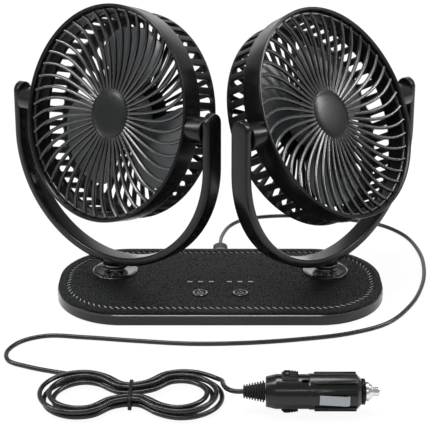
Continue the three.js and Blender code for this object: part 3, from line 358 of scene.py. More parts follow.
for name, (place, target, width, height, power) in light["softboxes"].items():
    lamp = bpy.data.lights.new(name, "AREA")
    lamp.shape = "RECTANGLE"
    lamp.size = width
    lamp.size_y = height
    lamp.energy = power
    holder = bpy.data.objects.new(name, lamp)
    holder.location = place
    holder.rotation_euler = (Vector(target) - Vector(place)).to_track_quat("-Z", "Y").to_euler()
    scene.collection.objects.link(holder)


def makeFloor():
    # a seamless paper sweep: white to the camera, with only a faint shadow left on it
    reach = 6
    mesh = bpy.data.meshes.new("floor")
    mesh.from_pydata([(-reach, -reach, 0), (reach, -reach, 0), (reach, reach, 0), (-reach, reach, 0)], [],
                     [(0, 1, 2, 3)])
    material, tree, shader = newMaterial("whiteStudioFloor", Roughness=0.9, Specular_IOR_Level=0.0)[:3]
    shader.inputs["Base Color"].default_value = toLinear("#fafafa")
    share = seenOrMirrored(tree, light["floorSeen"], light["floorMirrored"])
    glow = addNode(tree, "ShaderNodeEmission", {"Color": (1, 1, 1, 1), "Strength": 1.0})
    mixed = addNode(tree, "ShaderNodeMixShader", {0: share, 1: shader, 2: glow})
    tree.links.new(mixed.outputs[0], tree.nodes["Material Output"].inputs["Surface"])
    mesh.materials.append(material)
    floor = bpy.data.objects.new("floor", mesh)
    scene.collection.objects.link(floor)


makeFloor()
print("stage: camera, lights and floor")


# Materials

def mouldedAbs(name, dark, pale, rough, grain, depth, coat=0.0, gloss=0.3):
    # ABS from a spark-eroded mould: an even fine grain breaks the highlight into a soft sheen
    material, tree, shader, place = newMaterial(name, IOR=1.54, Specular_IOR_Level=gloss, Coat_Weight=coat,
                                                Coat_Roughness=0.08)
    fine = addNode(tree, "ShaderNodeTexNoise", {"Vector": place, "Scale": perSize(grain), "Detail": 3.0,
                                                "Roughness": 0.6})
    broad = addNode(tree, "ShaderNodeTexNoise", {"Vector": place, "Scale": perSize(24), "Detail": 4.0,
                                                 "Roughness": 0.55})
    toneBetween(tree, shader, broad, dark, pale)
    roughBetween(tree, shader, broad, rough - 0.05, rough + 0.05)
    bumpFrom(tree, shader, fine, depth)
    return material


# the yokes and shrouds: black with a soft sheen
satinAbs = mouldedAbs("satinMouldedAbs", "#08090a", "#0d0e0f", 0.24, 0.55, 0.006, gloss=0.2)
# the base's wall: black with a brighter edge
trayAbs = mouldedAbs("polishedMouldAbs", "#08090a", "#0c0d0e", 0.2, 0.6, 0.004, gloss=0.3)
# the plug: black, its ridges drawn by crisp lines
plugAbs = mouldedAbs("satinPolishedAbs", "#08090a", "#0e0f10", 0.22, 0.6, 0.003, gloss=0.28)
# the base's chamfer: a bright line under the leather
rimAbs = mouldedAbs("polishedChamferAbs", "#08090a", "#0c0d0e", 0.17, 4.0, 0.002, coat=0.6, gloss=0.8)
# the ribs: black with thin glints
ribAbs = mouldedAbs("smoothMouldedAbs", "#08090a", "#0d0e0f", 0.25, 0.6, 0.005, gloss=0.75)
# the cages and keys: black with nearly no sheen
mattAbs = mouldedAbs("mattMouldedAbs", "#08090a", "#0d0e0f", 0.45, 0.6, 0.02, gloss=0.2)
# the collars and key rims: a black mirror
glossAbs = mouldedAbs("polishedAbs", "#08090a", "#0b0c0d", 0.12, 4.0, 0.001, coat=1.0, gloss=1.0)
# the dishes: soft bright crescents
dishAbs = mouldedAbs("lacqueredAbs", "#0b0c0d", "#0f1011", 0.22, 4.0, 0.001, coat=0.7, gloss=1.0)
# the hub caps: dark grey with a fine even sheen
capAbs = mouldedAbs("greySatinAbs", "#121314", "#151718", 0.27, 0.5, 0.002, gloss=0.24)
# the impellers: grey with a broad sheen, their grey painted lighter than their own as painted light against
# the shade inside the head
bladeAbs = mouldedAbs("greyAbsLiftedByPaintedLight", "#4c5053", "#575b5e", 0.34, 0.8, 0.005, gloss=0.4)
# the power marks: pale grey, let in flush
markAbs = mouldedAbs("paleInlaidAbs", "#8c8f91", "#a2a5a7", 0.45, 0.5, 0.01)


def makeLeather():
    # PU leather embossed with a pebble grain and pressed flat: painted shade darkens the creases round paler,
    # shinier pebbles, under a broad random tone
    # The grain is drawn at 2 mm, coarser than the real 1 mm, so that it shows
    material, tree, shader, place = newMaterial("embossedPuLeather", IOR=1.48, Specular_IOR_Level=0.14)
    wander = addNode(tree, "ShaderNodeTexNoise", {"Vector": place, "Scale": perSize(5), "Detail": 2.0})
    warped = addNode(tree, "ShaderNodeVectorMath", {0: wander.outputs["Color"], 1: (1.2 * mm,) * 3},
                     operation="MULTIPLY")
    bent = addNode(tree, "ShaderNodeVectorMath", {0: place, 1: warped}, operation="ADD")
    cells = addNode(tree, "ShaderNodeTexVoronoi", {"Vector": bent, "Scale": perSize(2)},
                    feature="DISTANCE_TO_EDGE")
    pebble = addNode(tree, "ShaderNodeMapRange", {"Value": cells, "From Max": 0.28},
                     interpolation_type="SMOOTHSTEP")
    fine = addNode(tree, "ShaderNodeTexNoise", {"Vector": place, "Scale": perSize(0.5), "Detail": 3.0})
    height = addNode(tree, "ShaderNodeMath", {0: fine, 1: 0.25, 2: pebble}, operation="MULTIPLY_ADD")
    broad = addNode(tree, "ShaderNodeTexNoise", {"Vector": place, "Scale": perSize(18), "Detail": 3.0})
    # painted shade in the creases and a painted lift on the pebble tops, times a broad random tone
    creaseShadeAndTone = addNode(tree, "ShaderNodeMath", {0: pebble, 1: broad}, operation="MULTIPLY")
    toneBetween(tree, shader, creaseShadeAndTone, "#08090a", "#1b1d1f")
    rough = addNode(tree, "ShaderNodeMapRange", {"Value": pebble, "To Min": 0.72, "To Max": 0.38})
    tree.links.new(rough.outputs[0], shader.inputs["Roughness"])
    bumpFrom(tree, shader, height, 0.3)
    return material


def makeThread():
    # bonded polyester thread: pale twisted strands
    material, tree, shader, place = newMaterial("bondedPolyesterThread", Roughness=0.6, Sheen_Weight=0.3)
    strands = addNode(tree, "ShaderNodeTexWave", {"Vector": place, "Scale": perSize(2.2), "Distortion": 1.0},
                      bands_direction="DIAGONAL").outputs["Fac"]
    toneBetween(tree, shader, strands, "#6c6e70", "#9a9c9e")
    bumpFrom(tree, shader, strands, 0.05)
    return material


def softPvc(name, dark, pale, low, high, gloss, cloud, grain, depth):
    # plasticised PVC: faintly waxy, with slow changes of gloss over it
    material, tree, shader, place = newMaterial(name, IOR=1.53, Specular_IOR_Level=gloss)
    slow = addNode(tree, "ShaderNodeTexNoise", {"Vector": place, "Scale": perSize(cloud), "Detail": 3.0})
    fine = addNode(tree, "ShaderNodeTexNoise", {"Vector": place, "Scale": perSize(grain), "Detail": 2.0})
    toneBetween(tree, shader, slow, dark, pale)
    roughBetween(tree, shader, slow, low, high)
    bumpFrom(tree, shader, fine, depth)
    return material


def makeSilicone():
    # moulded silicone, dull and a little dusty
    material, tree, shader, place = newMaterial("mouldedSilicone", IOR=1.43, Specular_IOR_Level=0.35)
    dust = addNode(tree, "ShaderNodeTexNoise", {"Vector": place, "Scale": perSize(3), "Detail": 5.0})
    toneBetween(tree, shader, dust, "#0f1011", "#1a1b1c")
    roughBetween(tree, shader, dust, 0.75, 0.9)
    bumpFrom(tree, shader, dust, 0.03)
    return material


def platedMetal(name, dark, pale, rough, stretch):
    # worked metal under a thin plating: fine marks of the tool, longer one way than the other
    material, tree, shader, place = newMaterial(name, Metallic=1.0)
    scaled = addNode(tree, "ShaderNodeMapping", {"Vector": place, "Scale": stretch})
    marks = addNode(tree, "ShaderNodeTexNoise", {"Vector": scaled, "Scale": perSize(0.5), "Detail": 3.0})
    toneBetween(tree, shader, marks, dark, pale)
    roughBetween(tree, shader, marks, rough - 0.06, rough + 0.08)
    bumpFrom(tree, shader, marks, 0.006)
    return material


def mouldedPolycarbonate(name, dark, pale, through, rough):
    # lets a little light in below its gloss
    material, tree, shader, place = newMaterial(name, IOR=1.58, Roughness=rough, Subsurface_Weight=through,
                                                Subsurface_Scale=0.001)
    cloud = addNode(tree, "ShaderNodeTexNoise", {"Vector": place, "Scale": perSize(1.4), "Detail": 2.0})
    toneBetween(tree, shader, cloud, dark, pale)
    bumpFrom(tree, shader, cloud, 0.01)
    return material


def makeBoard():
    # green solder mask over copper tracks: even gloss with slightly raised lines
    material, tree, shader, place = newMaterial("solderMask", Roughness=0.35)
    tracks = addNode(tree, "ShaderNodeTexBrick", {
        "Vector": place, "Scale": perSize(4), "Mortar Size": 0.05, "Color1": toLinear("#14402a"),
        "Color2": toLinear("#184a30"), "Mortar": toLinear("#2c6a42")})
    tree.links.new(tracks.outputs["Color"], shader.inputs["Base Color"])
    bumpFrom(tree, shader, tracks.outputs["Fac"], 0.03)
    return material


leather = makeLeather()
thread = makeThread()
# the cord, drawn through a die: smooth, near black, with one thin highlight along it
cordPvc = softPvc("extrudedPvc", "#070809", "#0d0e0f", 0.24, 0.32, 0.38, 9, 0.8, 0.001)
# the boot, moulded: grey-black with pale glints on its ribs; it is the cord's PVC, painted a paler grey than
# the cord as painted light
bootPvc = softPvc("mouldedPvc", "#191b1c", "#242628", 0.28, 0.4, 0.7, 4, 0.6, 0.01)
silicone = makeSilicone()
# nickel over turned brass or steel: bright, with turning marks round it
nickel = platedMetal("turnedNickelPlate", "#a9abad", "#d2d4d5", 0.2, (6, 1, 1))
# the plug's side springs: grey, with rolling marks along them
springSteel = platedMetal("rolledSpringSteel", "#727578", "#8e9194", 0.34, (1, 8, 8))
# the motors' cans: pale grey and a little cloudy
motorSteel = platedMetal("zincPlatedSteel", "#7f8385", "#a5a8aa", 0.38, (1, 1, 5))
# the six lights: milky grey, unlit
milkyLight = mouldedPolycarbonate("milkyPolycarbonate", "#a7abae", "#c2c6c9", 0.15, 0.3)
# the plug's lamp: dark red, unlit
redLight = mouldedPolycarbonate("redPolycarbonate", "#3a0a14", "#5c1024", 0.1, 0.6)
solderMask = makeBoard()
print("materials: made")


# Cord: one curve from the boot, round the right-hand fan, through the tied hank, to the plug

cordShape = {
    "radius": 1.5, "straight": 3.2,
    "exit": (0, 66.3, 4.4),
    "rise": [(0, 69.5, 4.4), (0, 75.9, 4.4), (1.6, 95.35, 2.95)],
    "height": 1.6,
    "route": [(8, 118), (17, 129), (32, 136), (62, 139), (99, 132), (128, 120), (145, 98), (152, 66),
              (151, 35), (145, 6), (133, -24), (113, -52), (85, -67), (52, -75), (16, -80), (-20, -81),
              (-56, -77), (-91, -72), (-115, -70), (-131, -78), (-138, -92), (-135, -104), (-122, -111.5),
              (-106, -117.5)],
    "tail": [(1, -140, 7.8), (1.9, -148, 9.8), (3.7, -155.3, 11.5), (7, -159.8, 12.4), (10.4, -161, 12.6),
             (13.6, -161, 12.6), (17.3, -161, 12.6), (28, -161, 12.6), (40, -161, 12.6)],
}
hank = {
    "centre": (-54, -151.5), "half": 57, "lobe": 25.5, "waist": 9.7, "pack": 3.62, "spread": 5.8,
    "loops": 5, "start": 118, "exit": 34, "lift": 2.9, "layer": 3.6, "climb": 0.35, "steps": 30,
}
hankTurns = hank["loops"] - 1 + (hank["start"] - hank["exit"]) / 360


def outerLoop(angle):
    # the hank's outermost turn: two round lobes with a narrow waist between them
    lobe, waist = hank["lobe"], hank["waist"]
    middle = hank["half"] - lobe
    hollow = (middle ** 2 + waist ** 2 - lobe ** 2) / (2 * (lobe - waist))
    x = hank["half"] * cos(angle)
    if abs(x) > middle * hollow / (hollow + lobe):
        y = max(lobe ** 2 - (abs(x) - middle) ** 2, 0) ** 0.5
    else:
        y = waist + hollow - (hollow ** 2 - x ** 2) ** 0.5
    return Vector((x, y if sin(angle) > 0 else -y))


def hankPoint(loopsDone):
    # turns lie inside each other, and half-way through the cord climbs onto the second layer
    inner = min(loopsDone, hankTurns - loopsDone)
    t = (loopsDone - hankTurns / 2 + hank["climb"]) / (2 * hank["climb"])
    t = min(max(t, 0), 1)
    angle = radians(hank["start"] - loopsDone * 360)
    step = radians(1)
    along = (outerLoop(angle + step) - outerLoop(angle - step)).normalized()
    gap = hank["spread"] + (hank["pack"] - hank["spread"]) * sin(angle) ** 4
    flat = outerLoop(angle) + Vector((-along.y, along.x)) * inner * gap
    return Vector((hank["centre"][0] + flat.x, hank["centre"][1] + flat.y,
                   hank["lift"] + hank["layer"] * t * t * (3 - 2 * t)))


def heading(before, after):
    way = hankPoint(after) - hankPoint(before)
    return Vector((way.x, way.y, 0)).normalized()


def cordPoints():
    straight, tiny = cordShape["straight"], 0.0005
    into, out = heading(0, tiny), heading(hankTurns - tiny, hankTurns)
    steps = round(hankTurns * hank["steps"])
    start, end = hankPoint(0) - into * straight, hankPoint(hankTurns) + out * straight
    points = [Vector(p) for p in [cordShape["exit"]] + cordShape["rise"]]
    points += [Vector((x, y, cordShape["height"])) for x, y in cordShape["route"]]
    points += [start - into * straight, start]
    points += [hankPoint(hankTurns * i / steps) for i in range(steps + 1)]
    points += [end, end + out * straight]
    return points + [Vector(p) for p in cordShape["tail"]]


def slopes(p0, p1, p2, p3):
    # centripetal tangents of the stretch from p1 to p2
    d0, d1, d2 = [max((b - a).length, 1e-6) ** 0.5 for a, b in ((p0, p1), (p1, p2), (p2, p3))]
    first = ((p1 - p0) / d0 - (p2 - p0) / (d0 + d1) + (p2 - p1) / d1) * d1
    second = ((p2 - p1) / d1 - (p3 - p1) / (d1 + d2) + (p3 - p2) / d2) * d1
    return first, second


def makeCord():
    # gives the cord and its length, summed over eight chords of each stretch
    points = cordPoints()
    chords = 8
    data = bpy.data.curves.new("cord", "CURVE")
    data.dimensions = "3D"
    data.resolution_u = 6
    data.bevel_depth = cordShape["radius"] * mm
    data.bevel_resolution = 4
    data.use_fill_caps = True
    spline = data.splines.new("BEZIER")
    spline.bezier_points.add(len(points) - 1)
    for knot, point in zip(spline.bezier_points, points):
        knot.handle_left_type = knot.handle_right_type = "FREE"
        knot.co = knot.handle_left = knot.handle_right = point * mm
    length = 0
    for i in range(len(points) - 1):
        p1, p2 = points[i], points[i + 1]
        p0 = points[i - 1] if i else p1 * 2 - p2
        p3 = points[i + 2] if i + 2 < len(points) else p2 * 2 - p1
        first, second = slopes(p0, p1, p2, p3)
        a, b = p1 + first / 3, p2 - second / 3
        spline.bezier_points[i].handle_right = a * mm
        spline.bezier_points[i + 1].handle_left = b * mm
        before = p1
        for k in range(1, chords + 1):
            t = k / chords
            here = p1 * (1 - t) ** 3 + a * 3 * t * (1 - t) ** 2 + b * 3 * t * t * (1 - t) + p2 * t ** 3
            length += (here - before).length
            before = here
    data.materials.append(cordPvc)
    cord = bpy.data.objects.new("cord", data)
    scene.collection.objects.link(cord)
    return cord, length * mm


cord, cordLength = makeCord()
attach(cord, "base")
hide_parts("cord_run", "cord_hank", "cord_tail")
print(f"cord: {cordLength:.3f} m")

strap = {"reach": 12.6, "low": 0.2, "high": 9.3, "width": 2.2, "wall": 0.8, "corner": 3, "edge": 0.25}


def makeTie():
    # flat strap round the waist of the hank
    s = strap
    width, height = 2 * s["reach"], s["high"] - s["low"]
    outer = roundedRect(width, height, s["corner"], 8)
    inner = roundedRect(width - 2 * s["wall"], height - 2 * s["wall"], s["corner"] - s["wall"], 8)
    blend = [((a[0] + b[0]) / 2, (a[1] + b[1]) / 2) for a, b in zip(outer, inner)]
    half = s["width"] / 2
    rings = []
    for outline, side in ((outer, 1), (inner, -1)):
        for x, points in ((-half + s["edge"], outline), (half - s["edge"], outline), (half, blend)):
            rings.append([(side * x, y, z) for y, z in points])
    return moved(loft(rings, closed=True), at(*hank["centre"], (s["low"] + s["high"]) / 2))


tie = addPiece("cordTie", "base", makeTie(), mattAbs, nodes=["cord_tie"])

boot = {
    "widen": 6.6 / 4.3, "radius": 4.3, "neck": 3.6, "stem": 2.9, "inside": 2.4, "gap": 0.15, "flange": 2.6,
    "cone": 8, "coneShare": 0.55, "coneEndShare": 0.6, "length": 16, "ribs": 5, "groove": 0.6,
    "ribShares": (0.35, 0.45, 0.98), "bore": 1.7, "mouth": 0.3, "lip": 0.4, "boreDepth": 4,
}
port = {"radius": 3.3, "inside": 8, "outside": 4}
bootPlace = at(0, 54, 4.4) @ about("X", -pi / 2) @ Matrix.Diagonal((boot["widen"], 1, 1, 1))


def makeBoot():
    # oval ribbed boot that springs from the back wall, with the cord's bore at its mouth
    b = boot
    floor = b["length"] - b["boreDepth"]
    start = b["flange"] + b["cone"] * b["coneEndShare"]
    pitch = (b["length"] - start) / b["ribs"]
    profile = [(0, -b["inside"]), (b["stem"], -b["inside"]), (b["stem"], b["gap"], 0.1),
               (b["radius"], b["gap"], 0.5), (b["radius"], b["flange"], 0.9),
               (b["neck"], b["flange"] + b["cone"] * b["coneShare"])]
    for i in range(b["ribs"]):
        foot, low, high = [start + (i + share) * pitch for share in b["ribShares"]]
        profile += [(b["neck"] - b["groove"], start + i * pitch, 0.15), (b["neck"] - b["groove"], foot, 0.15),
                    (b["neck"], low, 0.2), (b["neck"], high, 0.2)]
    profile += [(b["bore"] + b["mouth"], b["length"], 0.25), (b["bore"], b["length"] - b["lip"]),
                (b["bore"], floor), (0, floor)]
    return lathe(profile, 40, 2)


addPiece("cordBoot", "base", makeBoot(), bootPvc, bootPlace, ["cord_gland"])


# Plug, along X from the cord to the tip

plugPlace = at(13.6, -161, 12.6)
plug = {
    "barrel": 10.7, "step": 0.4, "start": 13.3, "shoulder": 5.8, "shoulderRadius": 8.9, "length": 56.3,
    "nose": 2.6, "noseRadius": 8, "stepAt": 25.2, "stepSlope": 0.6, "bore": 4.5, "boreDepth": 11,
}
plugEnd = plug["start"] + plug["length"]
noseStart = plugEnd - plug["nose"]
relief = {"length": 13, "start": 4, "end": 6.4, "ribs": 8, "groove": 1.1, "bore": 1.8, "boreDepth": 4,
          "overlap": 0.1, "rootShare": 0.7, "ribShares": (0.55, 0.62), "lead": 0.08, "first": 0.05}


def reliefRingsTree():
    # rings set along Z, each scaled to the cone that it sits on
    tree, given = newTree("reliefRings", ("Pitch", "Start", "First Radius", "Last Radius"), ("Count",))
    points = addNode(tree, "GeometryNodePoints", {"Count": given["Count"]})
    index = addNode(tree, "GeometryNodeInputIndex")
    height = addNode(tree, "ShaderNodeMath", {0: index, 1: given["Pitch"], 2: given["Start"]},
                     operation="MULTIPLY_ADD")
    last = addNode(tree, "ShaderNodeMath", {0: given["Count"], 1: 1.0}, operation="SUBTRACT")
    radius = addNode(tree, "ShaderNodeMapRange", {
        "Value": index, "From Max": last, "To Min": given["First Radius"], "To Max": given["Last Radius"]})
    place = addNode(tree, "ShaderNodeCombineXYZ", {"Z": height})
    spread = addNode(tree, "GeometryNodeSetPosition", {"Geometry": points, "Position": place})
    size = addNode(tree, "ShaderNodeCombineXYZ", {"X": radius, "Y": radius, "Z": 1.0})
    rings = addNode(tree, "GeometryNodeInstanceOnPoints", {"Points": spread, "Instance": given["Geometry"],
                                                           "Scale": size})
    return endTree(tree, rings, given["Material"])


def makeRelief():
    # tapered sleeve with ribs, round the cord's last centimetre
    f = relief
    pitch = f["length"] / f["ribs"]
    root, (top, foot) = f["rootShare"], [pitch * share for share in f["ribShares"]]
    ring = lathe([(root, 0, 0.04), (1, f["lead"], 0.06), (1, top, 0.06), (root, foot, 0.04)], 40, 3,
                 ring=True)
    rings = grown(reliefRingsTree(), ring, {
        "Count": f["ribs"], "Pitch": pitch, "Start": f["first"], "First Radius": f["start"],
        "Last Radius": f["end"], "Material": silicone})
    core = lathe([(f["bore"], -f["overlap"]), (f["start"] - f["groove"] + f["overlap"], f["overlap"]),
                  (f["end"] - f["groove"], f["length"]), (0, f["length"]), (0, f["boreDepth"]),
                  (f["bore"], f["boreDepth"])], 40)
    return joined(rings, core)


addPiece("plugRelief", "base", makeRelief(), silicone, plugPlace @ alongX, ["plug_relief"])

gripPad = {"at": 9.3, "length": 9.8, "height": 1.8, "width": 7.5, "teeth": 3, "tooth": 0.5, "sunk": 1.2,
           "edge": 0.3, "edgeFrom": 0.2, "heel": 0.1}
padStart, padTop = plug["start"] + gripPad["at"], plug["barrel"] + gripPad["height"]
lamp = {"radius": 1.2, "hole": 1.5, "well": 1.4, "sunk": 1.1, "wall": 0.05, "dome": 0.42}
lampPlace = at(padStart + gripPad["length"] / 3, 0, 0)
vent = {"at": 23.1, "length": 4.6, "width": 2.5, "corner": 1.2, "depth": 5, "turn": 24}
fins = {"length": 25, "width": 1.5, "corner": 0.7, "proud": 1.0, "sunk": 1, "edge": 0.35, "apart": 12.5,
        "pairs": (43.5, 136.5, -43.5, -136.5)}
contact = {"length": 18, "nose": 4.5, "thick": 0.8, "proud": 1.3, "tab": 2.2, "width": 6.4, "sunk": 1.7,
           "inner": 0.5, "edge": 0.15, "edgeShares": (0.0024, 0.036), "gap": 0.3, "corner": 0.8,
           "slotFloor": 6.5}
beyond = 3  # how far a cutter stands out of what it cuts


def makeGripPad(side):
    # a ramp, a flat and three saw teeth
    g = gripPad
    root, end = plug["barrel"] - g["sunk"], padStart + g["length"]
    middle = padStart + g["length"] / 2
    pitch = g["length"] / 2 / g["teeth"]
    outline = [(padStart, root), (padStart, plug["barrel"], 0.4), (padStart + g["height"], padTop, 0.7),
               (middle, padTop, 0.15)]
    for i in range(g["teeth"]):
        x, z = middle + i * pitch, padTop - i * g["tooth"] / 2
        outline += [(x + pitch / 3, z - g["tooth"], 0.12), (x + pitch, z, 0.18)]
    outline = filleted(outline + [(end + g["heel"], root)], 3, closed=True)
    half, edge = g["width"] / 2, g["edge"]
    rings = []
    for inset, y in ((edge, -half), (0, -half + edge), (0, half - edge), (edge, half)):
        rings.append([(x, y, z - (inset if z > plug["barrel"] - g["edgeFrom"] else 0)) for x, z in outline])
    return moved(loft(rings), Matrix.Diagonal((1, 1, side, 1)))


def makePlugBody():
    # barrel with a stepped front, fins, grip pads, a vent, two slots for the springs and a well for the lamp
    p, c = plug, contact
    r, start, end, step = p["barrel"], p["start"], plugEnd, p["start"] + p["stepAt"]
    slim, floor = r - p["step"], end - p["boreDepth"]
    barrel = lathe([(0, start), (p["shoulderRadius"], start, 0.5), (slim, start + p["shoulder"], 3),
                    (slim, step, 0.2), (r, step + p["stepSlope"], 0.3), (r, noseStart, 0.8),
                    (p["noseRadius"], end, 0.5), (p["bore"], end, 0.3), (p["bore"], floor), (0, floor)], 96)
    hole = prism(roundedRect(vent["length"], vent["width"], vent["corner"], 6, (start + vent["at"], 0)),
                 r - vent["depth"], r + beyond)
    slot = prism(roundedRect(c["length"] + 2 * c["gap"], c["width"] + 2 * c["gap"], c["corner"], 3,
                             (noseStart - c["nose"] - c["length"] / 2, 0)), c["slotFloor"], r + beyond)
    body = cutBy(moved(barrel, alongX), moved(hole, about("X", radians(vent["turn"]))))
    for side in (-1, 1):
        body = cutBy(body, moved(slot, about("X", -side * pi / 2)))
    well = moved(rod(lamp["hole"], padTop - lamp["well"], padTop + beyond, 24), lampPlace)
    finOutline = roundedRect(fins["length"], fins["width"], fins["corner"], 4,
                             (noseStart - fins["length"] / 2, 0))
    fin = prism(finOutline, r - fins["sunk"], r + fins["proud"], edge=fins["edge"])
    around = [moved(fin, about("X", radians(middle + side * fins["apart"] - 90)))
              for middle in fins["pairs"] for side in (-1, 1)]
    return joined(cutBy(body, well), cutBy(makeGripPad(1), well), makeGripPad(-1), *around)


addPiece("plugBarrel", "base", makePlugBody(), plugAbs, plugPlace, ["plug_body"], sharp=30)


def makeLamp():
    r, floor = lamp["radius"], padTop - lamp["sunk"]
    return lathe([(0, floor), (r, floor), (r, padTop - lamp["wall"], 0.5), (0, padTop + lamp["dome"])], 32, 5)


addPiece("plugLamp", "base", makeLamp(), redLight, plugPlace @ lampPlace, ["plug_lamp"])


def makeContact(side):
    # bowed spring leaf with folded ends, its edges rolled
    c, r = contact, plug["barrel"]
    end = noseStart - c["nose"]
    start, low, inner, outer = end - c["length"], r - c["sunk"], r - c["inner"], r + c["proud"]
    under, bend, fold = outer - c["thick"], end - c["tab"], start + c["tab"]
    outline = filleted([
        (start, low), (fold, low, 0.2), (fold, inner - c["thick"], 0.3), (bend, under, 0.4), (bend, low, 0.2),
        (end, low, 0.15), (end, under, 0.5), (bend, outer, 1.2), (start, inner, 0.3)], closed=True)
    middle, half = ((start + end) / 2, (low + outer) / 2), c["width"] / 2
    rings = []
    for (u, v), z in ((c["edgeShares"], -half), ((0, 0), -half + c["edge"]), ((0, 0), half - c["edge"]),
                      (c["edgeShares"], half)):
        rings.append([(x + (middle[0] - x) * u, y + (middle[1] - y) * v, z) for x, y in outline])
    leaf = moved(loft(rings), Matrix.Diagonal((1, side, 1, 1)))
    if side < 0:
        leaf.flip_normals()
    return leaf


for name, side in (("front", -1), ("back", 1)):
    addPiece("plugContact" + name.title(), "plug_contact_" + name, makeContact(side), springSteel, plugPlace,
             ["plug_contact_" + name])

lockRing = {"gap": 0.3, "length": 2.1, "radius": 7.8, "bore": 4.5, "groove": 0.25, "width": 0.3, "first": 0.2,
            "pitch": 0.7}
tip = {"start": 2.7, "radius": 5.7, "length": 4.1, "mouth": 3.9, "hole": 3.0, "wallShare": 0.42,
       "taperShare": 0.9, "flare": 0.35, "lip": 0.2}
pin = {"radius": 2.7, "flange": 4.2, "thick": 1.4, "out": 4.6, "round": 1.5}


def makeLockRing():
    # smooth lock ring with two fine grooves
    g = lockRing
    low, r = plugEnd + g["gap"], g["radius"]
    high = low + g["length"]
    profile = [(g["bore"], low), (r, low, 0.2)]
    for i in (0, 1):
        start = low + g["first"] + i * g["pitch"]
        profile += [(r, start), (r - g["groove"], start + g["width"] / 2), (r, start + g["width"])]
    return lathe(profile + [(r, high, 0.3), (g["bore"], high, 0.2)], 80, 3, ring=True)


def makeTip():
    # turned cap that narrows to the mouth where the pin comes out
    start, length, mouth, hole = plugEnd + tip["start"], tip["length"], tip["mouth"], tip["hole"]
    return lathe([(hole, start), (tip["radius"], start, 0.25),
                  (tip["radius"], start + length * tip["wallShare"], 0.5),
                  (mouth + tip["flare"], start + length * tip["taperShare"], 0.3),
                  (mouth - tip["lip"], start + length, 0.25), (hole, start + length, 0.2)], 72, ring=True)


def makePin():
    # round-nosed pin on a flange that stays behind the tip
    top = plugEnd + tip["start"] - lockRing["gap"]
    low, end = top - pin["thick"], plugEnd + tip["start"] + tip["length"] + pin["out"]
    return lathe([(0, low), (pin["flange"], low, 0.2), (pin["flange"], top, 0.2), (pin["radius"], top, 0.15),
                  (pin["radius"], end, pin["round"]), (0, end)], 56, 6)


addPiece("plugRing", "base", makeLockRing(), satinAbs, plugPlace @ alongX, ["plug_ring"])
addPiece("plugTip", "base", makeTip(), nickel, plugPlace @ alongX, ["plug_tip"])
addPiece("plugPin", "plug_pin", makePin(), nickel, plugPlace @ alongX, ["plug_pin"])
print("plug: made")


# Base: tray, leather top, stitches, keys and lights

base = {
    "length": 230, "depth": 108, "corner": 48,
    # rows of inset, height and rounding; the tray's go up its wall and down into the lid's pocket
    "tray": [(9, 1.2), (9, 0.5), (0, 0.5, 1.3), (0, 7.5), (2.4, 7.5, 0.2), (2.4, 6.6), (4, 6.6, 0.2),
             (4, 2.4)],
    "rim": [(0, 7.5), (0, 7.7, 0.08), (0.08, 7.86), (0.42, 8.42), (0.5, 8.56, 0.08), (0.9, 8.7),
            (2.4, 8.7, 0.2), (2.4, 7.5)],
    # a rolled edge, the sewn channel and the flat middle
    "leather": [(3, 9.0), (0.7, 9.0), (0.5, 9.2), (0.5, 9.7), (0.62, 10.0), (0.95, 10.22), (1.6, 10.36),
                (3.2, 10.46), (5.0, 10.42), (5.9, 10.3), (6.5, 10.08), (7.1, 9.88), (8.0, 9.82), (8.9, 9.88),
                (9.5, 10.04), (10.1, 10.16), (11.5, 10.2)],
    "cutLow": 8, "cutHigh": 12, "studHole": 4.4,
}
stitch = {"inset": 8.0, "height": 10.12, "pitch": 4.3, "length": 4.5, "thick": 0.8, "slant": -42}
key = {"spacing": 28, "y": -23, "radius": 5.2, "gap": 0.3, "flange": 1.3, "flangeThick": 0.65,
       "flangeTop": 6.6, "shy": 0.1, "top": 10.4, "dish": 10.25, "dishEdges": (1.4, 2.2)}
lights = {"y": -4.4, "width": 3.7, "height": 1.6, "pitch": 7.6, "gap": 0.3, "gapCorner": 0.7,
          "rail": (5.8, 6.6), "foot": (3.7, 6.0), "window": (6.4, 10.28), "corner": 0.65, "edge": 0.16,
          "railCorner": 0.3}
balls = {"left": (-76, 14.6), "right": (76, 14.6)}
sides = {"left": -1, "right": 1}


def baseLoop(inset, z, steps=24):
    x, y, r = base["length"] / 2 - inset, base["depth"] / 2 - inset, base["corner"] - inset
    return [(px, py, z) for px, py in roundedRect(2 * x, 2 * y, r, steps)]


def makeTray():
    # moulded shell: rounded foot, straight wall and a pocket for the lid, with a port for the boot
    shell = loft([baseLoop(inset, z) for inset, z in filleted(base["tray"])])
    bore = rod(port["radius"], -port["inside"], port["outside"], 32)
    return cutBy(shell, moved(bore, bootPlace))


def makeTrayRim():
    # the wall's top edge: a slanted chamfer, polished so that it draws a bright line under the leather
    return loft([baseLoop(inset, z) for inset, z in filleted(base["rim"], 3)], closed=True)


addPiece("baseShell", "base", makeTray(), trayAbs, nodes=["base_tray"])
addPiece("baseRim", "base", makeTrayRim(), rimAbs, sharp=20)


def lightPlaces(side):
    return [(side * key["spacing"] / 2 + k * lights["pitch"], lights["y"]) for k in (-1, 0, 1)]


def makeLeatherTop():
    # the sewn top with its holes for the studs, the keys and the lights
    low, high = base["cutLow"], base["cutHigh"]
    pad = loft([baseLoop(inset, z) for inset, z in base["leather"]])
    studHole, keyHole = rod(base["studHole"], low, high, 32), rod(key["radius"] + key["gap"], low, high, 48)
    slit = prism(roundedRect(lights["width"] + lights["gap"], lights["height"] + lights["gap"],
                             lights["gapCorner"], 4), low, high)
    holes = [moved(studHole, at(x, y, 0)) for x, y in balls.values()]
    holes += [moved(keyHole, at(side * key["spacing"] / 2, key["y"], 0)) for side in (-1, 1)]
    holes += [moved(slit, at(x, y, 0)) for side in (-1, 1) for x, y in lightPlaces(side)]
    return cutBy(pad, joined(*holes))


addPiece("leatherTop", "base", makeLeatherTop(), leather, nodes=["leather_pad"], sharp=50)


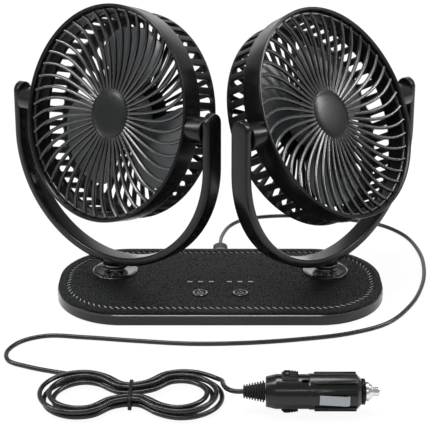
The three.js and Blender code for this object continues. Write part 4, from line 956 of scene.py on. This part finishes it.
def stitchTree():
    # slanted stitches at an even pitch along a loop
    tree, given = newTree("seamStitches", ("Pitch", "Length", "Thickness", "Slant"))
    loop = addNode(tree, "GeometryNodeMeshToCurve", {"Mesh": given["Geometry"]})
    even = addNode(tree, "GeometryNodeResampleCurve", {"Curve": loop, "Length": given["Pitch"]},
                   mode="LENGTH")
    tangent = addNode(tree, "GeometryNodeInputTangent")
    facing = addNode(tree, "FunctionNodeAlignRotationToVector", {"Vector": tangent}, axis="X", pivot_axis="Z")
    slant = addNode(tree, "ShaderNodeCombineXYZ", {"Z": given["Slant"]})
    turned = addNode(tree, "FunctionNodeRotateRotation", {"Rotation": facing, "Rotate By": slant},
                     rotation_space="LOCAL")
    grain = addNode(tree, "GeometryNodeMeshUVSphere", {"Segments": 8, "Rings": 6, "Radius": 0.5})
    size = addNode(tree, "ShaderNodeCombineXYZ", {"X": given["Length"], "Y": given["Thickness"],
                                                  "Z": given["Thickness"]})
    stitches = addNode(tree, "GeometryNodeInstanceOnPoints", {"Points": even, "Instance": grain,
                                                              "Rotation": turned, "Scale": size})
    return endTree(tree, stitches, given["Material"])


def makeStitches():
    points = baseLoop(stitch["inset"], stitch["height"])
    loop = bpy.data.meshes.new("loop")
    loop.from_pydata(points, [(i, (i + 1) % len(points)) for i in range(len(points))], [])
    return grown(stitchTree(), loop, {
        "Pitch": stitch["pitch"], "Length": stitch["length"], "Thickness": stitch["thick"],
        "Slant": radians(stitch["slant"]), "Material": thread})


addPiece("seamStitches", "base", makeStitches(), thread)

keyRim = {"inner": 1.3, "crestFrom": 1.15, "crestTo": 0.65, "low": 10.3, "crest": 10.75, "top": 10.92,
          "shoulder": 10.7, "foot": 10.1}
mark = {"radius": 1.95, "width": 0.6, "from": 125, "to": 415, "stem": 2.2, "stemAt": 1.6, "corner": 0.25,
        "low": 10.2, "high": 10.55}


def makeKey():
    # key with a shallow dish that carries the power mark, and a flange under the lid
    r, flange, high = key["radius"], key["radius"] + key["flange"], key["flangeTop"]
    low, side = high - key["flangeThick"], r - key["shy"]
    outside, inside = key["dishEdges"]
    return lathe([(0, low), (flange, low), (flange, high), (side, high), (side, key["top"], 0.1),
                  (r - outside, key["top"], 0.2), (r - inside, key["dish"], 1.0), (0, key["dish"])], 64)


def makeKeyRim():
    m, r = keyRim, key["radius"]
    return lathe([(r - m["inner"], m["low"]), (r - m["crestFrom"], m["crest"], 0.2),
                  (r - m["crestTo"], m["top"], 0.4), (r, m["shoulder"], 0.3), (r, m["foot"])], 96, ring=True)


def arcBar(radius, half, start, end, low, high, steps=20, capSteps=5):
    # a curved bar with round ends, seen from above
    def capPoints(angle, first):
        spots = [first + pi * k / capSteps for k in range(1, capSteps)]
        return [(radius * cos(angle) + half * cos(b), radius * sin(angle) + half * sin(b)) for b in spots]

    bend = [radians(start + (end - start) * k / steps) for k in range(steps + 1)]
    outline = [((radius + half) * cos(a), (radius + half) * sin(a)) for a in bend]
    outline += capPoints(bend[-1], bend[-1])
    outline += [((radius - half) * cos(a), (radius - half) * sin(a)) for a in reversed(bend)]
    return prism(outline + capPoints(bend[0], bend[0] + pi), low, high)


def makePowerMark():
    m = mark
    arc = arcBar(m["radius"], m["width"] / 2, m["from"], m["to"], m["low"], m["high"])
    return joined(arc, prism(roundedRect(m["width"], m["stem"], m["corner"], 3, (0, m["stemAt"])),
                             m["low"], m["high"]))


def makeLightGuide(side):
    # bar under the lid with three windows that come up through the leather
    g, middle = lights, (side * key["spacing"] / 2, lights["y"])
    rail = roundedRect(2 * g["pitch"] + g["width"], g["height"], g["railCorner"], 3, middle)
    foot = roundedRect(g["height"], g["height"], g["railCorner"], 3, middle)
    window = prism(roundedRect(g["width"], g["height"], g["corner"]), *g["window"], edge=g["edge"], steps=3)
    return joined(prism(rail, *g["rail"]), prism(foot, *g["foot"]),
                  *[moved(window, at(x, y, 0)) for x, y in lightPlaces(side)])


for name, side in sides.items():
    keyPlace, body, end = at(side * key["spacing"] / 2, key["y"], 0), "button_" + name, name.title()
    addPiece("button" + end, body, makeKey(), mattAbs, keyPlace, ["button_" + name])
    addPiece("keyRim" + end, body, makeKeyRim(), glossAbs, keyPlace)
    addPiece("powerMark" + end, body, makePowerMark(), markAbs, keyPlace)
    addPiece("lights" + end, "base", makeLightGuide(side), milkyLight, nodes=["light_guide_" + name])
print("base: made")


# Ball joints: dish, stud and collar

dish = {"hole": 2.6, "radius": 16.2, "crest": (15.1, 13.6), "well": 8.8, "low": 10.35, "edge": 10.85,
        "high": 11.45}
joint = {"height": 16.4, "ball": 4.6, "neck": 2.3, "low": 4.5, "foot": 4.1, "footLow": 11.15,
         "footHigh": 11.73, "waist": 12.3, "steps": 14}
collar = {"radius": 9.1, "wall": 1.5, "drop": 2.8, "groove": 0.18, "grooveAt": (1.0, 1.1, 1.3, 1.4),
          "socketTurns": (0.08, 0.16, 0.24, 0.32, 0.4)}


def makeDish():
    # raised plate with a round crest, hollow towards the ball
    d = dish
    outside, inside = d["crest"]
    return lathe([(d["hole"], d["low"]), (d["radius"], d["low"], 0.2), (d["radius"], d["edge"], 0.25),
                  (outside, d["high"], 0.5), (inside, d["high"], 0.5), (d["well"], d["edge"], 1.5),
                  (d["hole"], d["edge"])], 96, 5, ring=True)


def makeStud():
    j, r, neck = joint, joint["ball"], joint["neck"]
    start = -acos(neck / r)
    bend = [start + (pi / 2 - start) * k / j["steps"] for k in range(j["steps"])]
    return lathe([(0, j["low"]), (neck, j["low"]), (neck, j["footLow"]), (j["foot"], j["footLow"], 0.15),
                  (j["foot"], j["footHigh"], 0.3), (neck, j["waist"], 0.6)]
                 + [(r * cos(a), j["height"] + r * sin(a)) for a in bend] + [(0, j["height"] + r)], 48)


def makeCollar():
    # turned ring under the yoke, round the ball, in the yoke's own upright frame
    r, high, drop = collar["radius"], joint["height"], collar["drop"]
    socket, low = joint["ball"] + collar["wall"], joint["height"] - collar["drop"]
    start, sunk, rising, end = [low + z for z in collar["grooveAt"]]
    slim, mouth = r - collar["groove"], sqrt(socket ** 2 - drop ** 2)
    return lathe([(mouth, low, 0.3), (r, low, 0.55), (r, start), (slim, sunk), (slim, rising), (r, end),
                  (r, high, 0.4), (socket, high, 0.2)]
                 + [(socket * cos(a), high - socket * sin(a)) for a in collar["socketTurns"]], 72, ring=True)


# Yoke: X along the tilt axis, Z up from it

yoke = {"half": 95, "band": 13.7, "wall": 6, "drop": 84.1, "arm": 24, "top": 12.5, "edge": 1.5,
        "edgeShare": 0.6, "tipHalf": 0.02, "tipSteps": 8, "armSteps": 6, "bowSteps": 96, "boss": 8.4,
        "bossLow": -108.8, "bossHigh": -104.5, "socket": 6.1, "socketSteps": 16, "ball": -109.1, "bore": 3.9,
        "blind": 92.8}


def yokeStations():
    # (outer x, outer z, inner x, inner z, half of the band) from one tip round the bow to the other
    half, wall, arm, drop = yoke["half"], yoke["wall"], yoke["arm"], yoke["drop"]
    radius = yoke["band"] / 2
    tipZ = yoke["top"] - radius
    left = []
    for k in range(yoke["tipSteps"] + 1):
        a = pi / 2 * (1 - k / yoke["tipSteps"])
        z = tipZ + radius * sin(a)
        left.append((-half, z, -half + wall, z, max(radius * cos(a), yoke["tipHalf"])))
    for k in range(1, yoke["armSteps"]):
        z = tipZ - (arm + tipZ) * k / yoke["armSteps"]
        left.append((-half, z, -half + wall, z, radius))
    bow = []
    for k in range(yoke["bowSteps"] + 1):
        a = pi + pi * k / yoke["bowSteps"]
        bow.append((half * cos(a), -arm + drop * sin(a), (half - wall) * cos(a),
                    -arm + (drop - wall) * sin(a), radius))
    return left + bow + [(-x, z, -u, w, b) for x, z, u, w, b in reversed(left)]


def makeYoke():
    # flat band bent to a U with round tips, a boss under it for the collar, and blind bores for the pins
    y = yoke
    rings = []
    for x0, z0, x1, z1, band in yokeStations():
        ring = []
        for u, v in roundedRect(y["wall"], 2 * band, min(y["edge"], band * y["edgeShare"]), 4):
            s = (u + y["wall"] / 2) / y["wall"]
            ring.append((x0 + (x1 - x0) * s, v, z0 + (z1 - z0) * s))
        rings.append(ring)
    boss = lathe([(0, y["bossLow"]), (y["boss"], y["bossLow"], 0.4), (y["boss"], y["bossHigh"], 0.4),
                  (0, y["bossHigh"])], 64)
    bend = [pi * k / y["socketSteps"] for k in range(y["socketSteps"] + 1)]
    socket = lathe([(y["socket"] * sin(a), y["ball"] - y["socket"] * cos(a)) for a in bend], 32)
    bore = rod(y["bore"], y["half"] - y["wall"] - beyond, y["blind"], 32)
    band = cutBy(loft(rings), joined(moved(bore, alongX), moved(bore, alongMinusX)))
    return joined(cutBy(band, socket), cutBy(boss, socket))


# Head: Z forward along the fan's axis, X along the tilt axis, Y up

head = {"radius": 75.6, "duct": 72, "front": 9.5, "back": -7.4, "lip": 1.7, "lipDepth": 1.3, "mouth": 73.2,
        "seat": 4.0, "draft": 0.6, "draftEnd": 1.5, "boss": 9, "bossRoot": 70, "bossFace": 88.4, "bore": 3.9,
        "boreFloor": 1.1, "clear": 1.8, "coreFrom": -40, "coreTo": 20}


def makeShroud():
    # short ring with a rolled lip, and a boss on each side for the tilt pins
    h = head
    floor = h["radius"] + h["boreFloor"]
    ring = lathe([(h["duct"], h["back"]), (h["radius"] - h["draft"], h["back"], 0.5),
                  (h["radius"], h["front"] - h["draftEnd"]), (h["radius"], h["front"], 0.6),
                  (h["radius"] - h["lip"], h["front"], 0.35), (h["mouth"], h["front"] - h["lipDepth"], 0.3),
                  (h["mouth"], h["seat"]), (h["duct"], h["seat"], 0.3)], 180, 5, ring=True)
    boss = lathe([(0, h["bossRoot"]), (h["boss"], h["bossRoot"]), (h["boss"], h["bossFace"], 0.7),
                  (h["bore"], h["bossFace"], 0.2), (h["bore"], floor), (0, floor)], 56)
    core = rod(h["duct"] + h["clear"], h["coreFrom"], h["coreTo"], 180)
    return joined(ring, *[cutBy(moved(boss, way), core) for way in (alongX, alongMinusX)])


grille = {"top": 7.3, "depth": 3.0, "outer": 72.9, "rim": 71.2, "sunk": 1.3, "hub": 18, "overlap": 0.6,
          "rimOverlap": 0.5, "dish": 6, "ribs": 44, "width": 2.35, "round": 1.1, "hubShare": 0.46,
          "sweep": 10, "sweepPower": 3.0, "dishPower": 1.5, "stations": 18}


def sweptRibTree():
    # a rounded bar swept along a line that leans over near the rim and dishes near the hub
    tree, given = newTree("sweptRib", (
        "Hub", "Rim", "Low", "Top", "Dish Power", "Sweep", "Sweep Power", "Width", "Depth", "Round",
        "Hub Share"), ("Stations",))
    line = addNode(tree, "GeometryNodeCurvePrimitiveLine", {"End": (1.0, 0.0, 0.0)})
    even = addNode(tree, "GeometryNodeResampleCurve", {"Curve": line, "Count": given["Stations"]})
    t = addNode(tree, "GeometryNodeSplineParameter")
    reach = addNode(tree, "ShaderNodeMapRange", {"Value": t, "To Min": given["Hub"], "To Max": given["Rim"]})
    slim = addNode(tree, "ShaderNodeMapRange", {"Value": t, "To Min": given["Hub Share"], "To Max": 1.0})
    lean = addNode(tree, "ShaderNodeMath", {0: t, 1: given["Sweep Power"]}, operation="POWER")
    angle = addNode(tree, "ShaderNodeMath", {0: lean, 1: given["Sweep"]}, operation="MULTIPLY")
    rise = addNode(tree, "ShaderNodeMath", {0: t, 1: given["Dish Power"]}, operation="POWER")
    crest = addNode(tree, "ShaderNodeMapRange", {"Value": rise, "To Min": given["Low"],
                                                 "To Max": given["Top"]})
    depth = addNode(tree, "ShaderNodeMath", {0: slim, 1: given["Depth"]}, operation="MULTIPLY")
    height = addNode(tree, "ShaderNodeMath", {0: depth, 1: -0.5, 2: crest}, operation="MULTIPLY_ADD")
    straight = addNode(tree, "ShaderNodeCombineXYZ", {"X": reach, "Z": height})
    place = addNode(tree, "ShaderNodeVectorRotate", {"Vector": straight, "Angle": angle},
                    rotation_type="Z_AXIS")
    path = addNode(tree, "GeometryNodeSetPosition", {"Geometry": even, "Position": place})
    sized = addNode(tree, "GeometryNodeSetCurveRadius", {"Curve": path, "Radius": slim})
    upright = addNode(tree, "GeometryNodeSetCurveNormal", {"Curve": sized}, mode="Z_UP")
    section = addNode(tree, "GeometryNodeCurvePrimitiveQuadrilateral", {"Width": given["Width"],
                                                                        "Height": given["Depth"]})
    soft = addNode(tree, "GeometryNodeFilletCurve", {"Curve": section, "Count": 5, "Radius": given["Round"]},
                   mode="POLY")
    rib = addNode(tree, "GeometryNodeCurveToMesh", {"Curve": upright, "Profile Curve": soft,
                                                    "Fill Caps": True})
    return endTree(tree, rib, given["Material"])


def aroundAxisTree():
    # repeats the given shape about Z and welds the neighbours
    tree, given = newTree("aroundAxis", ("Weld",), ("Count",))
    points = addNode(tree, "GeometryNodePoints", {"Count": given["Count"]})
    index = addNode(tree, "GeometryNodeInputIndex")
    step = addNode(tree, "ShaderNodeMath", {0: turn, 1: given["Count"]}, operation="DIVIDE")
    angle = addNode(tree, "ShaderNodeMath", {0: index, 1: step}, operation="MULTIPLY")
    spin = addNode(tree, "ShaderNodeCombineXYZ", {"Z": angle})
    around = addNode(tree, "GeometryNodeInstanceOnPoints", {"Points": points, "Instance": given["Geometry"],
                                                            "Rotation": spin})
    real = addNode(tree, "GeometryNodeRealizeInstances", {"Geometry": around})
    welded = addNode(tree, "GeometryNodeMergeByDistance", {"Geometry": real, "Distance": given["Weld"]})
    return endTree(tree, welded, given["Material"])


aroundAxis = aroundAxisTree()
unwelded = 0.0001  # a weld too small to reach anything


def makeGrille():
    # hub disc and outer rim, with the swept ribs between them
    g = grille
    low, high, floor = g["top"] - g["depth"], g["top"] - g["sunk"], g["top"] - g["dish"]
    inner, outer, edge, under = g["rim"], g["outer"], g["hub"] + g["overlap"], floor - g["depth"]
    rim = lathe([(inner, high, 0.4), (inner, low, 0.3), (outer, low, 0.2), (outer, high, 0.3)], 180,
                ring=True)
    hub = lathe([(0, under), (edge, under, 0.4), (edge, floor, 0.6), (0, floor)], 96)
    rib = grown(sweptRibTree(), bpy.data.meshes.new("start"), {
        "Hub": g["hub"] - g["overlap"], "Rim": outer - g["rimOverlap"], "Low": floor, "Top": g["top"],
        "Dish Power": g["dishPower"], "Sweep": radians(g["sweep"]), "Sweep Power": g["sweepPower"],
        "Width": g["width"], "Depth": g["depth"], "Round": g["round"], "Hub Share": g["hubShare"],
        "Stations": g["stations"], "Material": ribAbs})
    ribs = grown(aroundAxis, rib, {"Count": g["ribs"], "Weld": unwelded, "Material": ribAbs})
    return joined(rim, hub, ribs)


cap = {"low": 1.6, "radius": 16.9, "edge": 2.15, "groove": (16.3, 2.3), "sunk": (15.8, 1.9), "dome": 15.6,
       "domeLow": 1.85, "domeHigh": 2.85, "steps": 10}


def makeCap():
    # low dome in the middle of the grille, with a fine groove inside its edge
    c = cap
    bend = [pi / 2 * k / c["steps"] for k in range(2, c["steps"])]
    dome = [(c["dome"] * cos(a), c["domeLow"] + (c["domeHigh"] - c["domeLow"]) * sin(a)) for a in bend]
    return lathe([(0, c["low"]), (c["radius"], c["low"], 0.15), (c["radius"], c["edge"], 0.35),
                  (*c["groove"], 0.25), c["sunk"]] + dome + [(0, c["domeHigh"])], 96, 5)


cage = {"radius": 73.2, "front": -7.7, "back": -30.3, "corner": 4.6, "slope": 5.2, "wall": 2.2, "cells": 44,
        "bevel": 0.35, "sideSlot": (-8.4, -24.0), "backSlot": (66.2, 25), "sideShare": 0.55, "share": 0.62,
        "hubShare": 0.52, "steps": 6, "tipShare": 0.12, "closedShare": 0.25, "hubReach": 0.6,
        "mouthShares": [(0, 0.8), (0.25, 0.95), (0.8, 1)], "rootFrom": 1, "rootAt": 0.3,
        "rootShares": (0.7, 0.3)}


def cageRows():
    # (radius, height, half of the opening, open towards the next row) down the side and in over the back
    c = cage
    r, back, pitch, tip = c["radius"], c["back"], turn / c["cells"], c["tipShare"]
    sideTop, sideEnd = c["sideSlot"]
    outer, inner = c["backSlot"]
    side, width = r * pitch * c["sideShare"] / 2, outer * pitch * c["share"] / 2
    narrow = inner * pitch * c["hubShare"] / 2
    quarter = [pi / 2 * k / c["steps"] for k in range(c["steps"])]
    rows = [(r, c["front"], side, False)]
    rows += [(r, sideTop - down, side * share, True) for down, share in c["mouthShares"]]
    rows += [(r, sideEnd + side * (1 - sin(a)), side * cos(a), True) for a in quarter]
    rows.append((r, sideEnd, side * tip, False))
    bend = filleted([(r, sideEnd), (r, back + c["corner"], 2.4), (r - c["slope"], back, 2.8),
                     (outer, back)], 5)
    rows += [(x, z, width * c["closedShare"], False) for x, z in bend[1:-1]]
    rows += [(outer - width * (1 - cos(a)), back, width * max(sin(a), tip), True) for a in quarter]
    for k in range(c["steps"]):
        x = outer - width + (inner + c["rootFrom"] - outer + width) * k / (c["steps"] - 1)
        share = c["hubShare"] + (c["share"] - c["hubShare"]) * (x - inner) / (outer - inner)
        rows.append((x, back, x * pitch * share / 2, True))
    root, end = [narrow * share for share in c["rootShares"]]
    return rows + [(inner + c["rootAt"], back, root, True), (inner, back, end, False),
                   (inner * c["hubReach"], back, end, False)]


def cageCell():
    # one slot of the cage with half of the bar on each side
    pitch = turn / cage["cells"]
    vertices, faces = [], []
    rows = cageRows()
    for r, z, half, _ in rows:
        for angle in (-pitch / 2, -half / r, half / r, pitch / 2):
            vertices.append((r * cos(angle), r * sin(angle), z))
    for i in range(len(rows) - 1):
        for k in range(3):
            if k == 1 and rows[i][3]:
                continue
            a = 4 * i + k
            faces.append((a, a + 4, a + 5, a + 1))
    centre = len(vertices)
    vertices.append((0, 0, cage["back"]))
    last = 4 * (len(rows) - 1)
    faces += [(last + k, centre, last + k + 1) for k in range(3)]
    mesh = bpy.data.meshes.new("cell")
    mesh.from_pydata(vertices, [], faces)
    return mesh


def makeCage():
    skin = grown(aroundAxis, cageCell(), {"Count": cage["cells"], "Weld": 0.01, "Material": mattAbs})
    return finishedWith(skin, ("SOLIDIFY", {"thickness": cage["wall"], "offset": -1.0}),
                        ("BEVEL", {"width": cage["bevel"], "segments": 2, "limit_method": "ANGLE",
                                   "angle_limit": radians(50)}))


impeller = {
    "blades": 3, "radius": 62, "hub": 15.5, "bore": 1.9, "back": -25.8, "depth": 15, "floor": 4, "wall": 2,
    "thick": 1.5, "edgeShare": 0.25, "tipShare": 0.5, "pitch": 12, "half": 41, "sweep": 9, "flatter": 0.35,
    "root": 0.8, "across": 14, "along": 16,
    "widthShares": [(0, 0.62), (0.2, 0.82), (0.6, 1.0), (0.9, 0.8), (1.0, 0.4)],
}


def widthAt(s):
    # smooth curve through the blade's shares of width
    points = impeller["widthShares"]
    points = [(2 * points[0][0] - points[1][0], 2 * points[0][1] - points[1][1])] + points
    points.append((2 * points[-1][0] - points[-2][0], 2 * points[-1][1] - points[-2][1]))
    i = next(i for i in range(1, len(points) - 2) if s <= points[i + 1][0] + 1e-9)
    (sa, wa), (s0, w0), (s1, w1), (sb, wb) = points[i - 1:i + 3]
    m0, m1 = (w1 - wa) / (s1 - sa) * (s1 - s0), (wb - w0) / (sb - s0) * (s1 - s0)
    t = (s - s0) / (s1 - s0)
    return ((2 * t ** 3 - 3 * t * t + 1) * w0 + (t ** 3 - 2 * t * t + t) * m0
            + (3 * t * t - 2 * t ** 3) * w1 + (t ** 3 - t * t) * m1)


def bladeMesh():
    # twisted plate, thick in the middle and thin at its edges, as sections from the hub to the tip
    b = impeller
    root, middle = b["hub"] - b["root"], b["back"] + b["depth"] / 2
    rings = []
    for i in range(b["along"] + 1):
        s = sin(pi / 2 * i / b["along"])
        r, share = root + s * (b["radius"] - root), widthAt(s)
        top, bottom = [], []
        for j in range(b["across"] + 1):
            t = -cos(pi * j / b["across"])
            angle = t * radians(b["half"]) * share + radians(b["sweep"]) * s
            z = middle - b["pitch"] / 2 * (1 - b["flatter"] * s) * t * share + b["thick"] * (1 - t * t)
            body = max(sqrt(max(1 - t * t, 0)), b["edgeShare"]) * (1 - b["tipShare"] * s ** 4)
            top.append((r * cos(angle), r * sin(angle), z + b["thick"] / 2 * body))
            bottom.append((r * cos(angle), r * sin(angle), z - b["thick"] / 2 * body))
        rings.append(top + bottom[::-1])
    return loft(rings, strips=True)


def makeImpeller():
    b = impeller
    low, high, inner = b["back"], b["back"] + b["depth"], b["hub"] - b["wall"]
    cup = lathe([(b["bore"], high - b["floor"]), (inner, high - b["floor"], 0.5), (inner, low, 0.2),
                 (b["hub"], low, 0.2), (b["hub"], high, 2.4), (b["bore"], high)], 72, 5, ring=True)
    return joined(cup, grown(aroundAxis, bladeMesh(), {"Count": b["blades"], "Weld": unwelded,
                                                       "Material": bladeAbs}))


print("fans: shaping")
fanPieces = [  # piece, its CAD node, the body and the place that it has, shape, material and slot
    ("dish", "dish", "base", "foot", makeDish(), dishAbs, "gloss_black"),
    ("ballStud", "ball_stud", "base", "foot", makeStud(), nickel, "steel"),
    ("socketCollar", "socket_collar", "yoke", "upright", makeCollar(), glossAbs, "gloss_black"),
    ("yoke", "yoke", "yoke", "yoke", makeYoke(), satinAbs, "satin_black"),
    ("shroud", "shroud", "head", "head", makeShroud(), satinAbs, "satin_black"),
    ("frontGrille", "front_grille", "head", "head", makeGrille(), ribAbs, "satin_black"),
    ("hubCap", "hub_cap", "head", "head", makeCap(), capAbs, "cap_grey"),
    ("rearCage", "rear_cage", "head", "head", makeCage(), mattAbs, "matt_black"),
    ("impeller", "impeller", "impeller", "blades", makeImpeller(), bladeAbs, "blade_grey"),
]
poses = {
    "left": {"yaw": -40, "lean": 6, "tilt": 11.5, "firstBlade": 88},
    "right": {"yaw": 47.3, "lean": 4.2, "tilt": 25.7, "firstBlade": 150},
}
for side, pose in poses.items():
    x, y = balls[side]
    ball = at(x, y, joint["height"]) @ about("X", radians(-pose["lean"])) @ about("Z", radians(pose["yaw"]))
    places = {"foot": at(x, y, 0), "upright": ball @ at(0, 0, -joint["height"]),
              "yoke": ball @ at(0, 0, -yoke["ball"])}
    places["head"] = places["yoke"] @ about("X", radians(90 - pose["tilt"]))
    places["blades"] = places["head"] @ about("Z", radians(pose["firstBlade"]))
    for name, node, body, place, mesh, material, slotName in fanPieces:
        rides = body if body == "base" else f"{body}_{side}"
        addPiece(name + side.title(), rides, mesh, material, places[place], [f"{node}_{side}"])
    print("fan:", side)


# CAD solids that stay as they are, with real materials

kept = {
    "grip_sheet": silicone, "base_lid": mattAbs, "circuit_board": solderMask, "switch": mattAbs,
    "stud_nut": nickel, "liner": mattAbs, "motor_shaft": nickel, "motor": motorSteel, "tilt_pin": nickel,
    "plug_fuse": nickel,
}
for nodeName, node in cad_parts.items():
    for start, material in kept.items():
        if nodeName.startswith(start):
            for slot in node.material_slots:
                slot.material = material
            break

print("scene: done")
